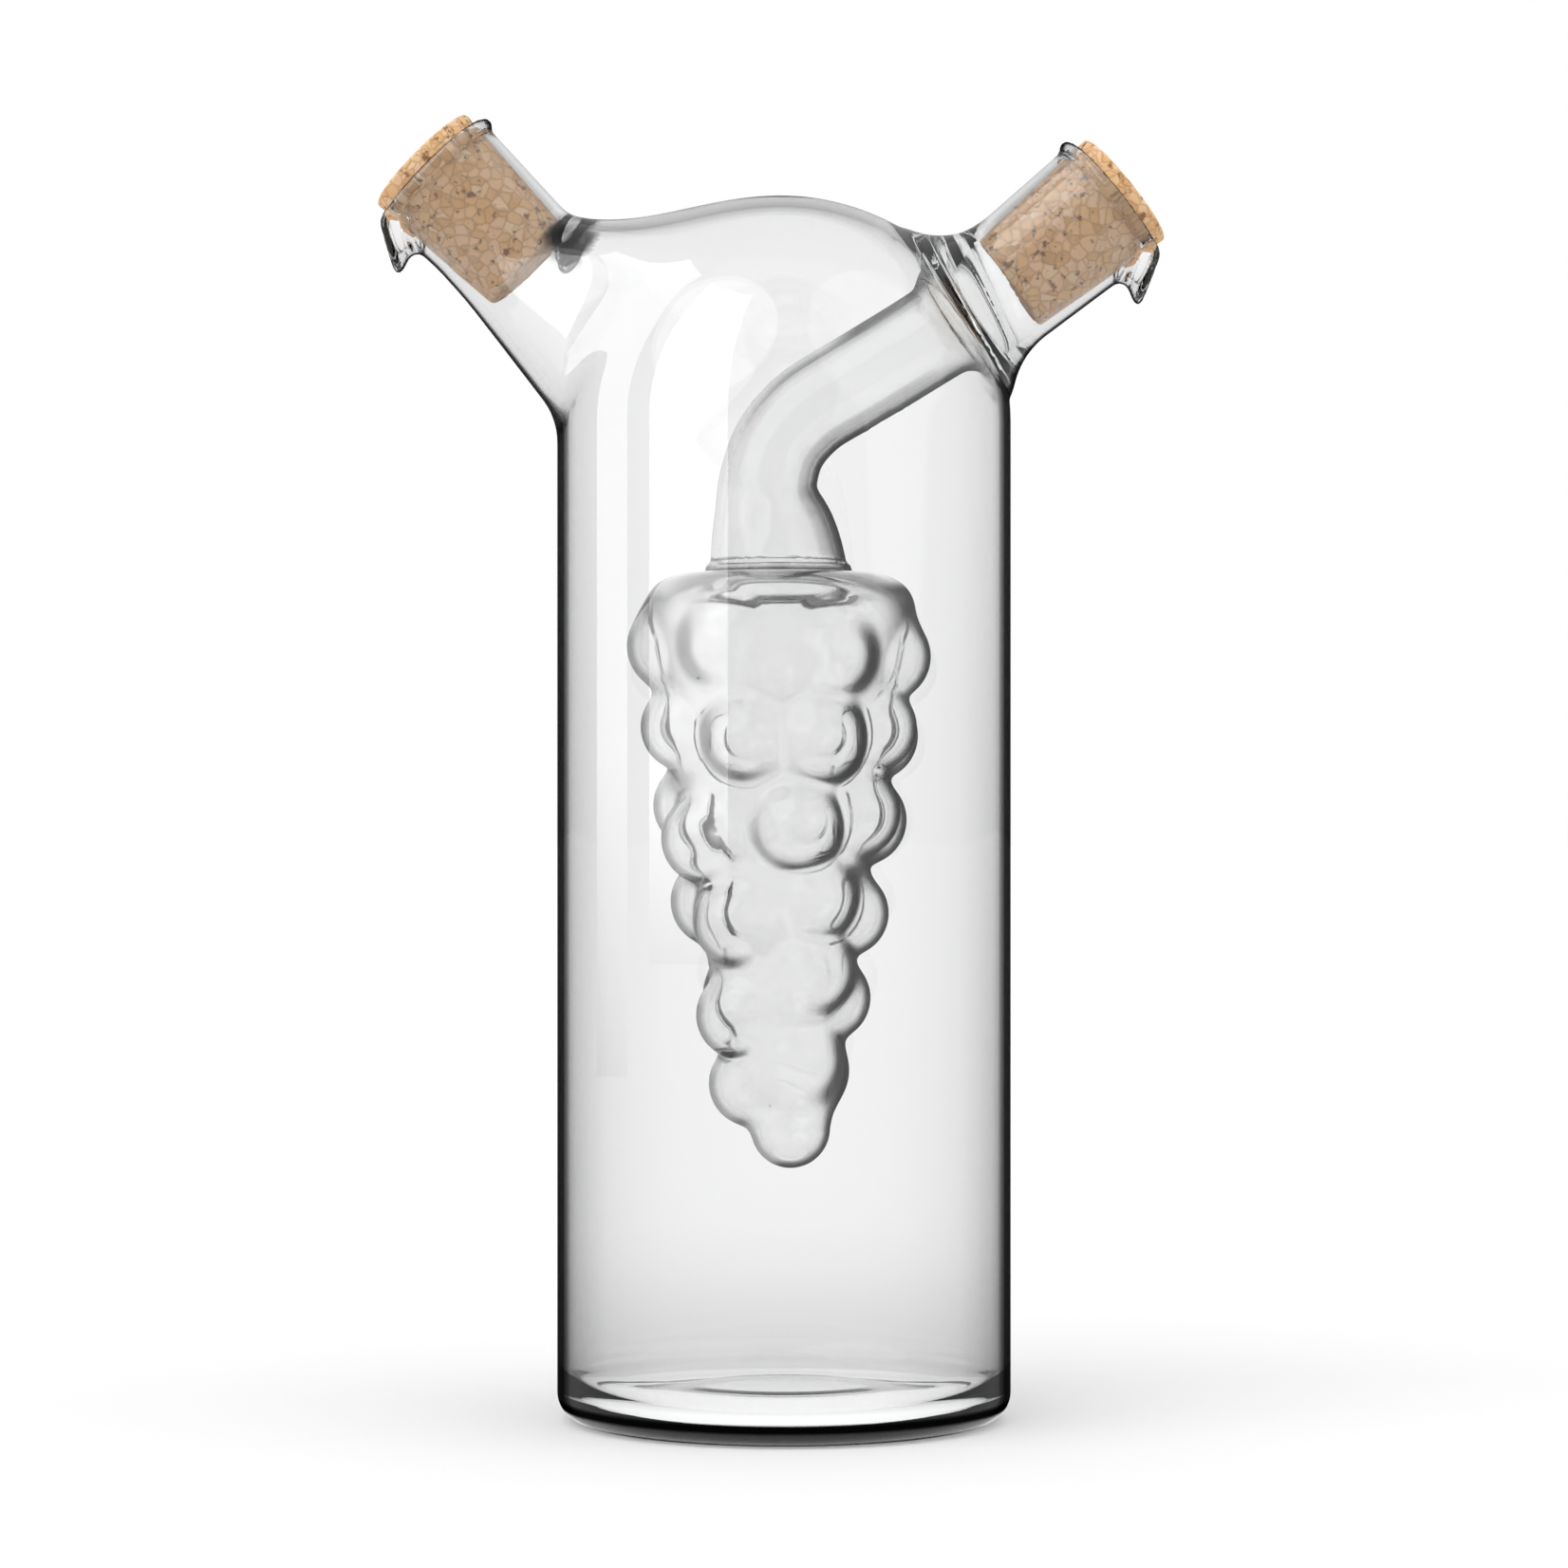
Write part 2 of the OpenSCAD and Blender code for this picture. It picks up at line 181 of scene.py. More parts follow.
@dataclass
class SpoutGlass:
    """The straight tube round a cork, with its beaded rim and its pouring lip.

    Args:
        line: the spout's axis.
        cork_from: where the cork starts along the axis.
        rim_at: where the rim ends along the axis.
        end_mid: radius of the middle of the wall where the cork starts.
        rim_mid: the same radius at the rim.
        end_half: half of the wall's thickness where the cork starts.
        rim_half: the same half at the rim.
        bead_half: radius of the bead round the rim.
        bead_out: how far the tube swells towards the rim.
        bead_len: how far below the rim it starts to swell.
        bead_full: how far below the rim it has swollen.
        bead_fillet: fillet between the bead and the wall.
        edge_round: rounding of the wall's edge in the bead.
        lip_tilt: degrees from the spout's axis to the lip's middle line.
        lip_spread: degrees from the lip's middle line to its sides.
        lip_r: radius of the lip's rounded tip.
        lip_drop: how far below the rim the tip lies.
        lip_reach: how far from the axis the tip lies.
        lip_fillet: fillet between the lip and the tube.
        lip_bead: radius of the bead round the lip.
        lip_turn: rounding between the lip's edge and the rim.
        lip_clear: distance from the tube where the lip's own bead starts and is full.
        mouth_from: how far below the rim the mouth's form starts to take over.
        mouth_full: how far below the rim it has taken over.
        dark_rim: how far below the rim the painted shade on the glass starts, and is darkest.
        dark_lip: the same for the lip.
        dark_lip_r: distance from the axis where the painted shade on the lip starts, and is darkest.
    """

    line: SlantedLine
    cork_from: float
    rim_at: float
    end_mid: float = 8.25
    rim_mid: float = 9.32
    end_half: float = 0.78
    rim_half: float = 0.5
    bead_half: float = 0.84
    bead_out: float = 0.34
    bead_len: float = 2.3
    bead_full: float = 0.8
    bead_fillet: float = 0.8
    edge_round: float = 0.3
    lip_tilt: float = 59.0
    lip_spread: float = 32.0
    lip_r: float = 5.9
    lip_drop: float = 5.9
    lip_reach: float = 13.7
    lip_fillet: float = 1.6
    lip_bead: float = 1.0
    lip_turn: float = 1.5
    lip_clear: Point = (0.2, 1.4)
    mouth_from: float = 13.0
    mouth_full: float = 9.0
    dark_rim: Point = (3.2, 1.6)
    dark_lip: Point = (10.0, 9.0)
    dark_lip_r: Point = (10.2, 10.9)

    def _share(self, t: Array) -> Array:
        """How far along the cork a length lies, from 0 to 1."""
        return np.clip((t - self.cork_from) / (self.rim_at - self.cork_from), 0.0, 1.0)

    def mid_radius(self, t: Array) -> Array:
        """Radius of the middle of the wall at a length along the axis."""
        return self.end_mid + (self.rim_mid - self.end_mid) * self._share(t)

    def half_wall(self, t: Array) -> Array:
        """Half of the wall's thickness at a length along the axis."""
        return self.end_half + (self.rim_half - self.end_half) * self._share(t)

    def ended(self, wall: Array, t: Array, u: Array, y: Array) -> Array:
        """Turns the wall's distance smoothly into that of the open end.

        Args:
            wall: distance from a tube that goes on for ever.
            t: length along the axis.
            u: offset to the pouring side.
            y: offset to the back.

        Returns:
            The distance from the tube with its mouth.
        """
        near = ramp(t, self.rim_at - self.mouth_from, self.rim_at - self.mouth_full)
        return wall + (self.mouth(t, u, y) - wall) * near

    def mouth(self, t: Array, u: Array, y: Array) -> Array:
        """Distance from the open end of the tube, with its bead and its lip.

        Args:
            t: length along the axis.
            u: offset to the pouring side.
            y: offset to the back.

        Returns:
            The distance.
        """
        tilt, spread = math.radians(self.lip_tilt), math.radians(self.lip_spread)
        tip_t, tip_u = self.rim_at - self.lip_drop, self.lip_reach
        back = self.lip_r / math.tan(spread)
        peak_t = tip_t + self.lip_r * math.sin(tilt) - back * math.cos(tilt)
        peak_u = tip_u - self.lip_r * math.cos(tilt) - back * math.sin(tilt)
        s = (t - peak_t) * math.cos(tilt) + (u - peak_u) * math.sin(tilt)
        across = (t - peak_t) * math.sin(tilt) - (u - peak_u) * math.cos(tilt)
        cone = (np.hypot(across, y) - s * math.tan(spread)) * math.cos(spread)
        beyond = (t - tip_t) * math.cos(tilt) + (u - tip_u) * math.sin(tilt)
        end = soft_cut(t - self.rim_at, beyond, self.lip_turn)
        swell = ramp(t, self.rim_at - self.bead_len, self.rim_at - self.bead_full)
        tube = np.hypot(u, y) - self.mid_radius(t) - self.bead_out * swell
        sheet = soft_union(tube, cone, self.lip_fillet)
        at_lip = ramp(tube, *self.lip_clear)
        bead = self.bead_half + (self.lip_bead - self.bead_half) * at_lip
        wall = soft_cut(np.abs(sheet) - self.half_wall(t), end + bead, self.edge_round)
        return soft_union(wall, np.hypot(sheet, end + bead) - bead, self.bead_fillet)

    def dark_mouth(self, x: Array, y: Array, z: Array) -> Array:
        """Finds the rim and lip that take painted shade.

        Args:
            x: places along X.
            y: places along Y.
            z: heights.

        Returns:
            1 on the rim and the lip, 0 elsewhere.
        """
        t, u = self.line.local(x, z)
        below = self.rim_at - t
        # Painted shade on the rim and on the lip.
        rim = 1.0 - ramp(below, self.dark_rim[1], self.dark_rim[0])
        lip = 1.0 - ramp(below, self.dark_lip[1], self.dark_lip[0])
        return np.maximum(rim, ramp(np.hypot(u, y), *self.dark_lip_r) * lip)


@dataclass
class BottleGlass:
    """The outer bottle's dome, drawn-out neck and oil spout.

    Args:
        spout: the oil spout.
        radius: outer radius of the bottle.
        half_wall: half of the wall's thickness.
        dome_z: height at which the dome starts.
        neck: axis of the cone that the dome is drawn out into.
        neck_at: length along that axis where the cone has its given radius.
        neck_radius: that radius.
        neck_spread: degrees from the axis to the cone's side.
        neck_foot: length along the axis where the cone starts, in the dome.
        neck_round: rounding of the cone's start.
        fillet_above: fillet between dome and cone on its upper side.
        fillet_below: the same fillet on its lower side.
        upper_side: how far round to the upper side the one takes over from the other.
        weld_fillet: fillet between the cone and the spout's tube.
        tube_foot: length along the spout's axis where the tube starts.
        wall_from: length along that axis where the spout's own wall starts to take over.
        wall_full: length along that axis where it has taken over.
        weld_from: start of the thick weld above the spout, as a length and a radius.
        weld_to: end of the weld.
        weld_rise: half of the weld's thickness.
        weld_side: how far round to the upper side the weld starts and is full.
        weld_sink: how far the weld is taken away on the lower side.
        weld_blend: fillet between the weld and the wall.
    """

    spout: SpoutGlass
    radius: float = 32.0
    half_wall: float = 0.75
    dome_z: float = 140.45
    neck: SlantedLine = SlantedLine((-0.7, 139.1), 32.5, Side.OIL)
    neck_at: float = 42.0
    neck_radius: float = 9.0
    neck_spread: float = 20.0
    neck_foot: float = 8.0
    neck_round: float = 5.0
    fillet_above: float = 10.5
    fillet_below: float = 2.2
    upper_side: Point = (-0.7, 0.9)
    weld_fillet: float = 1.2
    tube_foot: float = 25.0
    wall_from: float = 36.0
    wall_full: float = 42.0
    weld_from: Point = (39.9, 8.2)
    weld_to: Point = (38.3, 5.7)
    weld_rise: float = 1.55
    weld_side: Point = (0.1, 0.8)
    weld_sink: float = 3.0
    weld_blend: float = 1.2

    def middle(self, x: Array, y: Array, z: Array) -> Tuple[Array, Array, Array]:
        """Measures from the middle of the wall.

        Args:
            x: places along X.
            y: places along Y.
            z: heights.

        Returns:
            The signed distance, the length along the spout and the offset to its pouring side.
        """
        level = np.maximum(z - self.dome_z, 0.0)
        body = np.sqrt(x * x + y * y + level * level) - (self.radius - self.half_wall)
        s, w = self.neck.local(x, z)
        spread = math.radians(self.neck_spread)
        around = np.hypot(w, y)
        cone = (around - self.neck_radius - math.tan(spread) * (self.neck_at - s)) * math.cos(spread)
        cone = soft_cut(cone, self.neck_foot - s, self.neck_round)
        above = ramp(-w / np.maximum(around, 1e-3), *self.upper_side)
        reach = self.fillet_below + (self.fillet_above - self.fillet_below) * above
        neck = soft_union(body, cone, reach)
        t, u = self.spout.line.local(x, z)
        tube = np.maximum(np.hypot(u, y) - self.spout.mid_radius(t), self.tube_foot - t)
        return soft_union(neck, tube, self.weld_fillet), t, u

    def glass(self, x: Array, y: Array, z: Array) -> Tuple[Array, Array]:
        """Measures from the bottle's glass.

        Args:
            x: places along X.
            y: places along Y.
            z: heights.

        Returns:
            The distance from the glass, and from the middle of its wall.
        """
        mid, t, u = self.middle(x, y, z)
        near_spout = ramp(t, self.wall_from, self.wall_full)
        half = self.half_wall + (self.spout.half_wall(t) - self.half_wall) * near_spout
        glass = self.spout.ended(np.abs(mid) - half, t, u, y)
        rho = np.hypot(u, y)
        upper = ramp(-u / np.maximum(rho, 1e-3), *self.weld_side)
        dt, dr = self.weld_to[0] - self.weld_from[0], self.weld_to[1] - self.weld_from[1]
        k = ((t - self.weld_from[0]) * dt + (rho - self.weld_from[1]) * dr) / (dt * dt + dr * dr)
        k = np.clip(k, 0.0, 1.0)
        weld = np.hypot(t - self.weld_from[0] - k * dt, rho - self.weld_from[1] - k * dr)
        weld = weld - self.weld_rise * upper + self.weld_sink * (1.0 - upper)
        return soft_union(glass, weld, self.weld_blend), mid


@dataclass
class VesselGlass:
    """The bunch of grapes, its bent stem and the vinegar spout.

    Args:
        spout: the vinegar spout.
        stem_points: the stem's middle line from the bunch up, as x, z and radius.
        stem_steps: number of short pieces between two of those points.
        half_wall: half of the wall's thickness.
        top: height of the bunch's flat top.
        shoulder_r: radius of the bunch's core at the shoulder.
        shoulder_z: height of the shoulder.
        shoulder_round: rounding of the shoulder.
        tip_r: radius of the rounded tip.
        tip_x: place of the tip along X.
        tip_z: height of the tip's middle.
        lean_from: height below which the core leans over to the tip.
        grape_r: radius of a grape.
        grape_vary: how much the grapes differ in radius.
        grape_fillet: fillet between the grapes.
        hollow_grape_r: radius of a grape's hollow, apart from the wall.
        hollow_fillet: fillet between the grapes' hollows.
        wall_round: rounding where the hollow is cut back to leave a full wall.
        foot_fillet: fillet between the stem and the bunch.
        mouth_fillet: fillet between the stem's hollow and the bunch's.
        weld_radius: radius of the weld ring round the stem's foot.
        weld_lift: how far above the flat top the ring's middle lies.
        weld_rise: half of the ring's thickness.
        weld_blend: fillet between the ring and the glass.
        tube_from: length along the spout's axis where its tube starts.
        tube_full: length along that axis where it has its full radius.
        tube_narrow: how much narrower the tube starts.
        tube_fillet: fillet between the tube and the stem.
        middle_x: place of the bunch's axis along X.
        rows: each row's distance from the axis, with the turn and height of its grapes.
        path: points along the stem's middle, close together, with their radii.
        grapes: each grape's place and radius.
    """

    spout: SpoutGlass
    stem_points: Sequence[Tuple[float, float, float]] = (
        (-0.5, 116.0, 9.2),
        (-0.8, 120.0, 9.0),
        (-1.3, 124.0, 8.3),
        (-2.1, 128.0, 7.0),
        (-2.3, 132.0, 6.35),
        (-0.6, 137.5, 6.1),
        (3.3, 142.1, 6.1),
        (8.8, 145.6, 6.15),
        (14.3, 148.9, 6.15),
        (22.6, 154.0, 6.15),
        (27.0, 156.7, 6.15),
    )
    stem_steps: int = 6
    half_wall: float = 0.6
    top: float = 119.4
    shoulder_r: float = 18.7
    shoulder_z: float = 112.0
    shoulder_round: float = 9.0
    tip_r: float = 5.0
    tip_x: float = 0.9
    tip_z: float = 41.0
    lean_from: float = 64.0
    grape_r: float = 5.7
    grape_vary: float = 0.2
    grape_fillet: float = 1.9
    hollow_grape_r: float = 4.85
    hollow_fillet: float = 3.2
    wall_round: float = 0.5
    foot_fillet: float = 1.2
    mouth_fillet: float = 3.0
    weld_radius: float = 9.5
    weld_lift: float = 0.6
    weld_rise: float = 0.8
    weld_blend: float = 0.5
    tube_from: float = 22.0
    tube_full: float = 29.0
    tube_narrow: float = 6.0
    tube_fillet: float = 2.0
    middle_x: float = -0.6
    rows: Sequence[Tuple[float, Sequence[Point]]] = (
        (15.2, ((25, 107.6), (78, 107.5), (130, 108.5), (180, 107), (232, 108.5), (279, 109), (333, 109))),
        (
            14.2,
            ((22, 96), (66, 97.5), (110, 96.5), (155, 97.5), (200, 96), (246, 98), (290, 97.6), (343, 96.2)),
        ),
        (12.2, ((11, 84), (60, 85.6), (108, 84.5), (158, 85.5), (208, 84.2), (256, 86.6), (305, 82))),
        (9.3, ((30, 73.8), (86, 71.4), (140, 73), (198, 72), (258, 73), (322, 70.5))),
        (6.8, ((36, 63.6), (98, 59.4), (160, 61), (225, 60), (306, 57.2))),
        (3.9, ((36, 50.8), (120, 49), (200, 50), (276, 47.4))),
    )
    path: Array = field(init=False)
    grapes: List[Tuple[float, float, float, float]] = field(init=False)

    def __post_init__(self) -> None:
        """Works out the stem's path and the grapes."""
        self.path = self._smooth_path()
        self.grapes = []
        for ring, row in self.rows:
            for count, (turn, z) in enumerate(row):
                a = math.radians(turn - 90.0)
                size = self.grape_r + self.grape_vary * math.sin(2.3 * count + z)
                self.grapes.append((self.middle_x + ring * math.cos(a), ring * math.sin(a), z, size))

    def _smooth_path(self) -> Array:
        """Runs a smooth curve through the stem's points.

        Returns:
            Points of the curve, as x, z and radius.
        """
        p = np.array(self.stem_points, dtype=np.float64)
        p = np.vstack([2 * p[0] - p[1], p, 2 * p[-1] - p[-2]])
        out = []
        for i in range(1, len(p) - 2):
            a, b, c, d = p[i - 1], p[i], p[i + 1], p[i + 2]
            for step in range(self.stem_steps):
                k = step / self.stem_steps
                cubic = (3 * b - a - 3 * c + d) * k**3
                out.append(0.5 * (2 * b + (c - a) * k + (2 * a - 5 * b + 4 * c - d) * k * k + cubic))
        out.append(p[-2])
        return np.array(out)

    def stem(self, x: Array, y: Array, z: Array) -> Array:
        """Measures from the middle of the stem's wall.

        Args:
            x: places along X.
            y: places along Y.
            z: heights.

        Returns:
            The signed distance.
        """
        best = np.full(x.shape, 1e6, dtype=x.dtype)
        for (ax, az, ar), (bx, bz, br) in zip(self.path[:-1], self.path[1:]):
            dx, dz = bx - ax, bz - az
            k = np.clip(((x - ax) * dx + (z - az) * dz) / (dx * dx + dz * dz), 0.0, 1.0)
            gap = np.sqrt((x - ax - k * dx) ** 2 + (z - az - k * dz) ** 2 + y * y)
            best = np.minimum(best, gap - ar - k * (br - ar))
        return best

    def bunch(self, x: Array, y: Array, z: Array) -> Tuple[Array, Array]:
        """Measures from the bunch's outside and from its smoother hollow.

        Args:
            x: places along X.
            y: places along Y.
            z: heights.

        Returns:
            Both distances. The hollow keeps a full wall from the outside.
        """
        shift = self.middle_x + (self.tip_x - self.middle_x) * ramp(-z, -self.lean_from, -self.tip_z)
        rho = np.hypot(x - shift, y)
        slope = math.atan2(self.shoulder_r - self.tip_r, self.shoulder_z - self.tip_z)
        side = (rho - self.tip_r) * math.cos(slope) - (z - self.tip_z) * math.sin(slope)
        core = soft_cut(side, z - self.top + self.half_wall, self.shoulder_round)
        core = np.where(z < self.tip_z, np.hypot(rho, z - self.tip_z) - self.tip_r, core)
        outside, hollow = core - self.half_wall, core + self.half_wall
        for gx, gy, gz, gr in self.grapes:
            ball = np.sqrt((x - gx) ** 2 + (y - gy) ** 2 + (z - gz) ** 2) - gr
            outside = soft_union(outside, ball - self.half_wall, self.grape_fillet)
            hollow = soft_union(hollow, ball + self.grape_r - self.hollow_grape_r, self.hollow_fillet)
        return outside, soft_cut(hollow, outside + self.half_wall, self.wall_round)

    def glass(self, x: Array, y: Array, z: Array) -> Tuple[Array, Array, Array]:
        """Measures from the vessel's glass.

        Args:
            x: places along X.
            y: places along Y.
            z: heights.

        Returns:
            The distances from the glass, from its outside and from its hollow.
        """
        t, u = self.spout.line.local(x, z)
        narrow = 1.0 - ramp(t, self.tube_from + 1.0, self.tube_full)
        radius = self.spout.mid_radius(t) - self.tube_narrow * narrow
        tube = np.maximum(np.hypot(u, y) - radius, self.tube_from - t)
        mid = soft_union(self.stem(x, y, z), tube, self.tube_fillet)
        near_spout = ramp(t, self.tube_from, self.tube_full + 1.0)
        half = self.half_wall + (self.spout.half_wall(t) - self.half_wall) * near_spout
        outside, hollow = self.bunch(x, y, z)
        outside = soft_union(outside, mid - half, self.foot_fillet)
        hollow = soft_union(hollow, mid + half, self.mouth_fillet)
        glass = self.spout.ended(np.maximum(outside, -hollow), t, u, y)
        weld = self.from_weld(x, y, z, self.weld_lift) - self.weld_rise
        return soft_union(glass, weld, self.weld_blend), outside, hollow

    def from_weld(self, x: Array, y: Array, z: Array, lift: float) -> Array:
        """Measures from a ring round the stem's foot.

        Args:
            x: places along X.
            y: places along Y.
            z: heights.
            lift: how far above the bunch's flat top the ring lies.

        Returns:
            The distance from the ring's line.
        """
        around = np.hypot(x - self.stem_points[1][0], y)
        return np.hypot(around - self.weld_radius, z - self.top - lift)


@dataclass
class PaintedGlassShade:
    """Painted shade that the glass finish reads at each point, with the masks that say where it goes.

    Args:
        bottle: 1 on the outside of the bottle and the spouts.
        vessel: 1 on the outside of the inner vessel.
        edge: how much painted shade darkens the glass where it is seen edge-on.
        soft: how far the broad painted shade at the bottle's sides goes.
        heel: 1 on the thick heel, which takes a painted dark line for anyone who looks level.
        shade: what is let through elsewhere, cut down by painted shade on the weld ring, the lump and
            towards the foot.
    """

    bottle: Array
    vessel: Array
    edge: Array
    soft: Array
    heel: Array
    shade: Array

    def joined(self, other: "PaintedGlassShade") -> "PaintedGlassShade":
        """Puts another surface's painted shading after this.

        Args:
            other: the painted shading of the other surface.

        Returns:
            The painted shading of both.
        """
        pairs = ((getattr(self, f.name), getattr(other, f.name)) for f in fields(self))
        return PaintedGlassShade(*(np.concatenate(pair) for pair in pairs))

    def write(self, mesh: bpy.types.Mesh) -> None:
        """Stores the painted shading on a mesh's points.

        Args:
            mesh: the mesh, with as many points as there are values of painted shading.
        """
        for f in fields(self):
            layer = mesh.attributes.new("glass_" + f.name, "FLOAT", "POINT")
            layer.data.foreach_set("value", getattr(self, f.name).astype(np.float32))


@dataclass(frozen=True)
class PaintedEdgeShade:
    """Painted shade where the glass is seen edge-on, in each part. A pair is where a change starts and ends.

    Args:
        dome_pale: how much the painted shade on the bottle's outside pales on the dome.
        dome_turn: how far up it faces there.
        crest_turn: how far up it faces where the painted shade darkens its crest again.
        least: the painted shade on the inner vessel's edge where it is palest.
        bunch_more: what the bunch has more.
        upward_pale: how much the vessel's painted shade pales where it faces up.
        upward_turn: how far up it faces there.
        across: share of facing the vinegar side in the painted shade that darkens the vessel.
        down: share of facing down in it.
        dark_turn: how far that goes.
        seal: painted edge shade near the ring seal.
        seal_z: height of that part.
        seal_x: place of that part along X.
        flat_pale: how much the painted shade pales on the bunch's flat top.
        flat_turn: how far up it faces there.
        flat_far: distance from the flat top's height, where this ends and starts.
        hollow_least: painted edge shade of the stem's hollow where it is palest.
        hollow_more: what its lower side, in painted shade, has more.
        hollow_turn: how far it faces there.
        hollow_foot: height at which the dark side starts.
        hollow_end: height at which the hollow's edge ends.
        hollow_level: how far up or down it faces where it ends too.
        side_soft: broad painted shade at the sides of the bottle's top.
        soft_pale: how much less of it there is on the dome.
        soft_turn: how far up the dome faces there.
        weld_dark: how dark the painted shade on the weld ring is.
        weld_width: distance from the ring's line where this ends.
        lump_at: the lump above the oil spout, which takes painted shade, as a length and a radius.
        lump_dark: how dark the painted shade on its ring is.
        lump_rim: distance from its middle where the lump ends.
        lump_heart: distance from its middle where the bright heart inside the painted ring ends.
        lump_turn: how far round towards the top the lump goes.
    """

    dome_pale: float = 0.92
    dome_turn: Point = (0.05, 0.5)
    crest_turn: Point = (0.965, 0.985)
    least: float = 0.22
    bunch_more: float = 0.4
    upward_pale: float = 0.7
    upward_turn: Point = (0.1, 0.6)
    across: float = 0.85
    down: float = 0.53
    dark_turn: Point = (-0.05, 0.35)
    seal: float = 0.8
    seal_z: Point = (134.0, 140.0)
    seal_x: Point = (5.0, 11.0)
    flat_pale: float = 0.8
    flat_turn: Point = (0.75, 0.95)
    flat_far: Point = (4.0, 6.0)
    hollow_least: float = 0.06
    hollow_more: float = 0.84
    hollow_turn: Point = (0.0, 0.5)
    hollow_foot: Point = (121.0, 123.0)
    hollow_end: Point = (146.0, 150.0)
    hollow_level: Point = (0.75, 0.95)
    side_soft: float = 0.4
    soft_pale: float = 0.8
    soft_turn: Point = (0.1, 0.6)
    weld_dark: float = 0.8
    weld_width: Point = (0.6, 1.2)
    lump_at: Point = (39.2, 7.4)
    lump_dark: float = 0.95
    lump_rim: Point = (2.7, 3.7)
    lump_heart: Point = (1.1, 1.8)
    lump_turn: Point = (0.3, 0.7)

    def on_bottle(self, up: Array) -> Array:
        """Painted edge shade of the bottle's outside, pale on the dome but dark at its crest."""
        return 1.0 - self.dome_pale * (ramp(up, *self.dome_turn) - ramp(up, *self.crest_turn))

    def on_vessel(self, x: Array, z: Array, normals: Array, top: float) -> Array:
        """Painted edge shade of the vessel's outside, darker below and towards the vinegar side.

        Args:
            x: places along X.
            z: heights.
            normals: the surface's normals there.
            top: height of the bunch's flat top.

        Returns:
            The edge tint.
        """
        up = normals[:, 2]
        least = self.least + self.bunch_more * (1.0 - ramp(z, top - 1.0, top))
        least = least * (1.0 - self.upward_pale * ramp(up, *self.upward_turn))
        edge = least + (1.0 - least) * ramp(self.across * normals[:, 0] - self.down * up, *self.dark_turn)
        edge = np.maximum(edge, self.seal * ramp(z, *self.seal_z) * ramp(x, *self.seal_x))
        flat = ramp(up, *self.flat_turn) * (1.0 - ramp(np.abs(z - top), *self.flat_far))
        return edge * (1.0 - self.flat_pale * flat)

    def in_hollow(self, z: Array, normals: Array) -> Array:
        """Painted edge shade of the stem's hollow, darker on its lower side.

        Args:
            z: heights.
            normals: the surface's normals there.

        Returns:
            The painted edge shade.
        """
        up = normals[:, 2]
        dark = ramp(self.down * up - self.across * normals[:, 0], *self.hollow_turn)
        dark = dark * ramp(z, *self.hollow_foot)
        ends = (1.0 - ramp(z, *self.hollow_end)) * (1.0 - ramp(np.abs(up), *self.hollow_level))
        return (self.hollow_least + self.hollow_more * dark) * ends

    def lump(self, t: Array, u: Array, y: Array) -> Tuple[Array, Array]:
        """Finds the lump of melted glass above the oil spout, which takes painted shade.

        Args:
            t: length along the spout's axis.
            u: offset to the pouring side.
            y: offset to the back.

        Returns:
            1 on the lump, and 1 on its ring of painted shade.
        """
        rho = np.hypot(u, y)
        away = np.hypot(t - self.lump_at[0], rho - self.lump_at[1])
        on_lump = (1.0 - ramp(away, *self.lump_rim)) * ramp(-u / np.maximum(rho, 1e-3), *self.lump_turn)
        return on_lump, on_lump * ramp(away, *self.lump_heart)


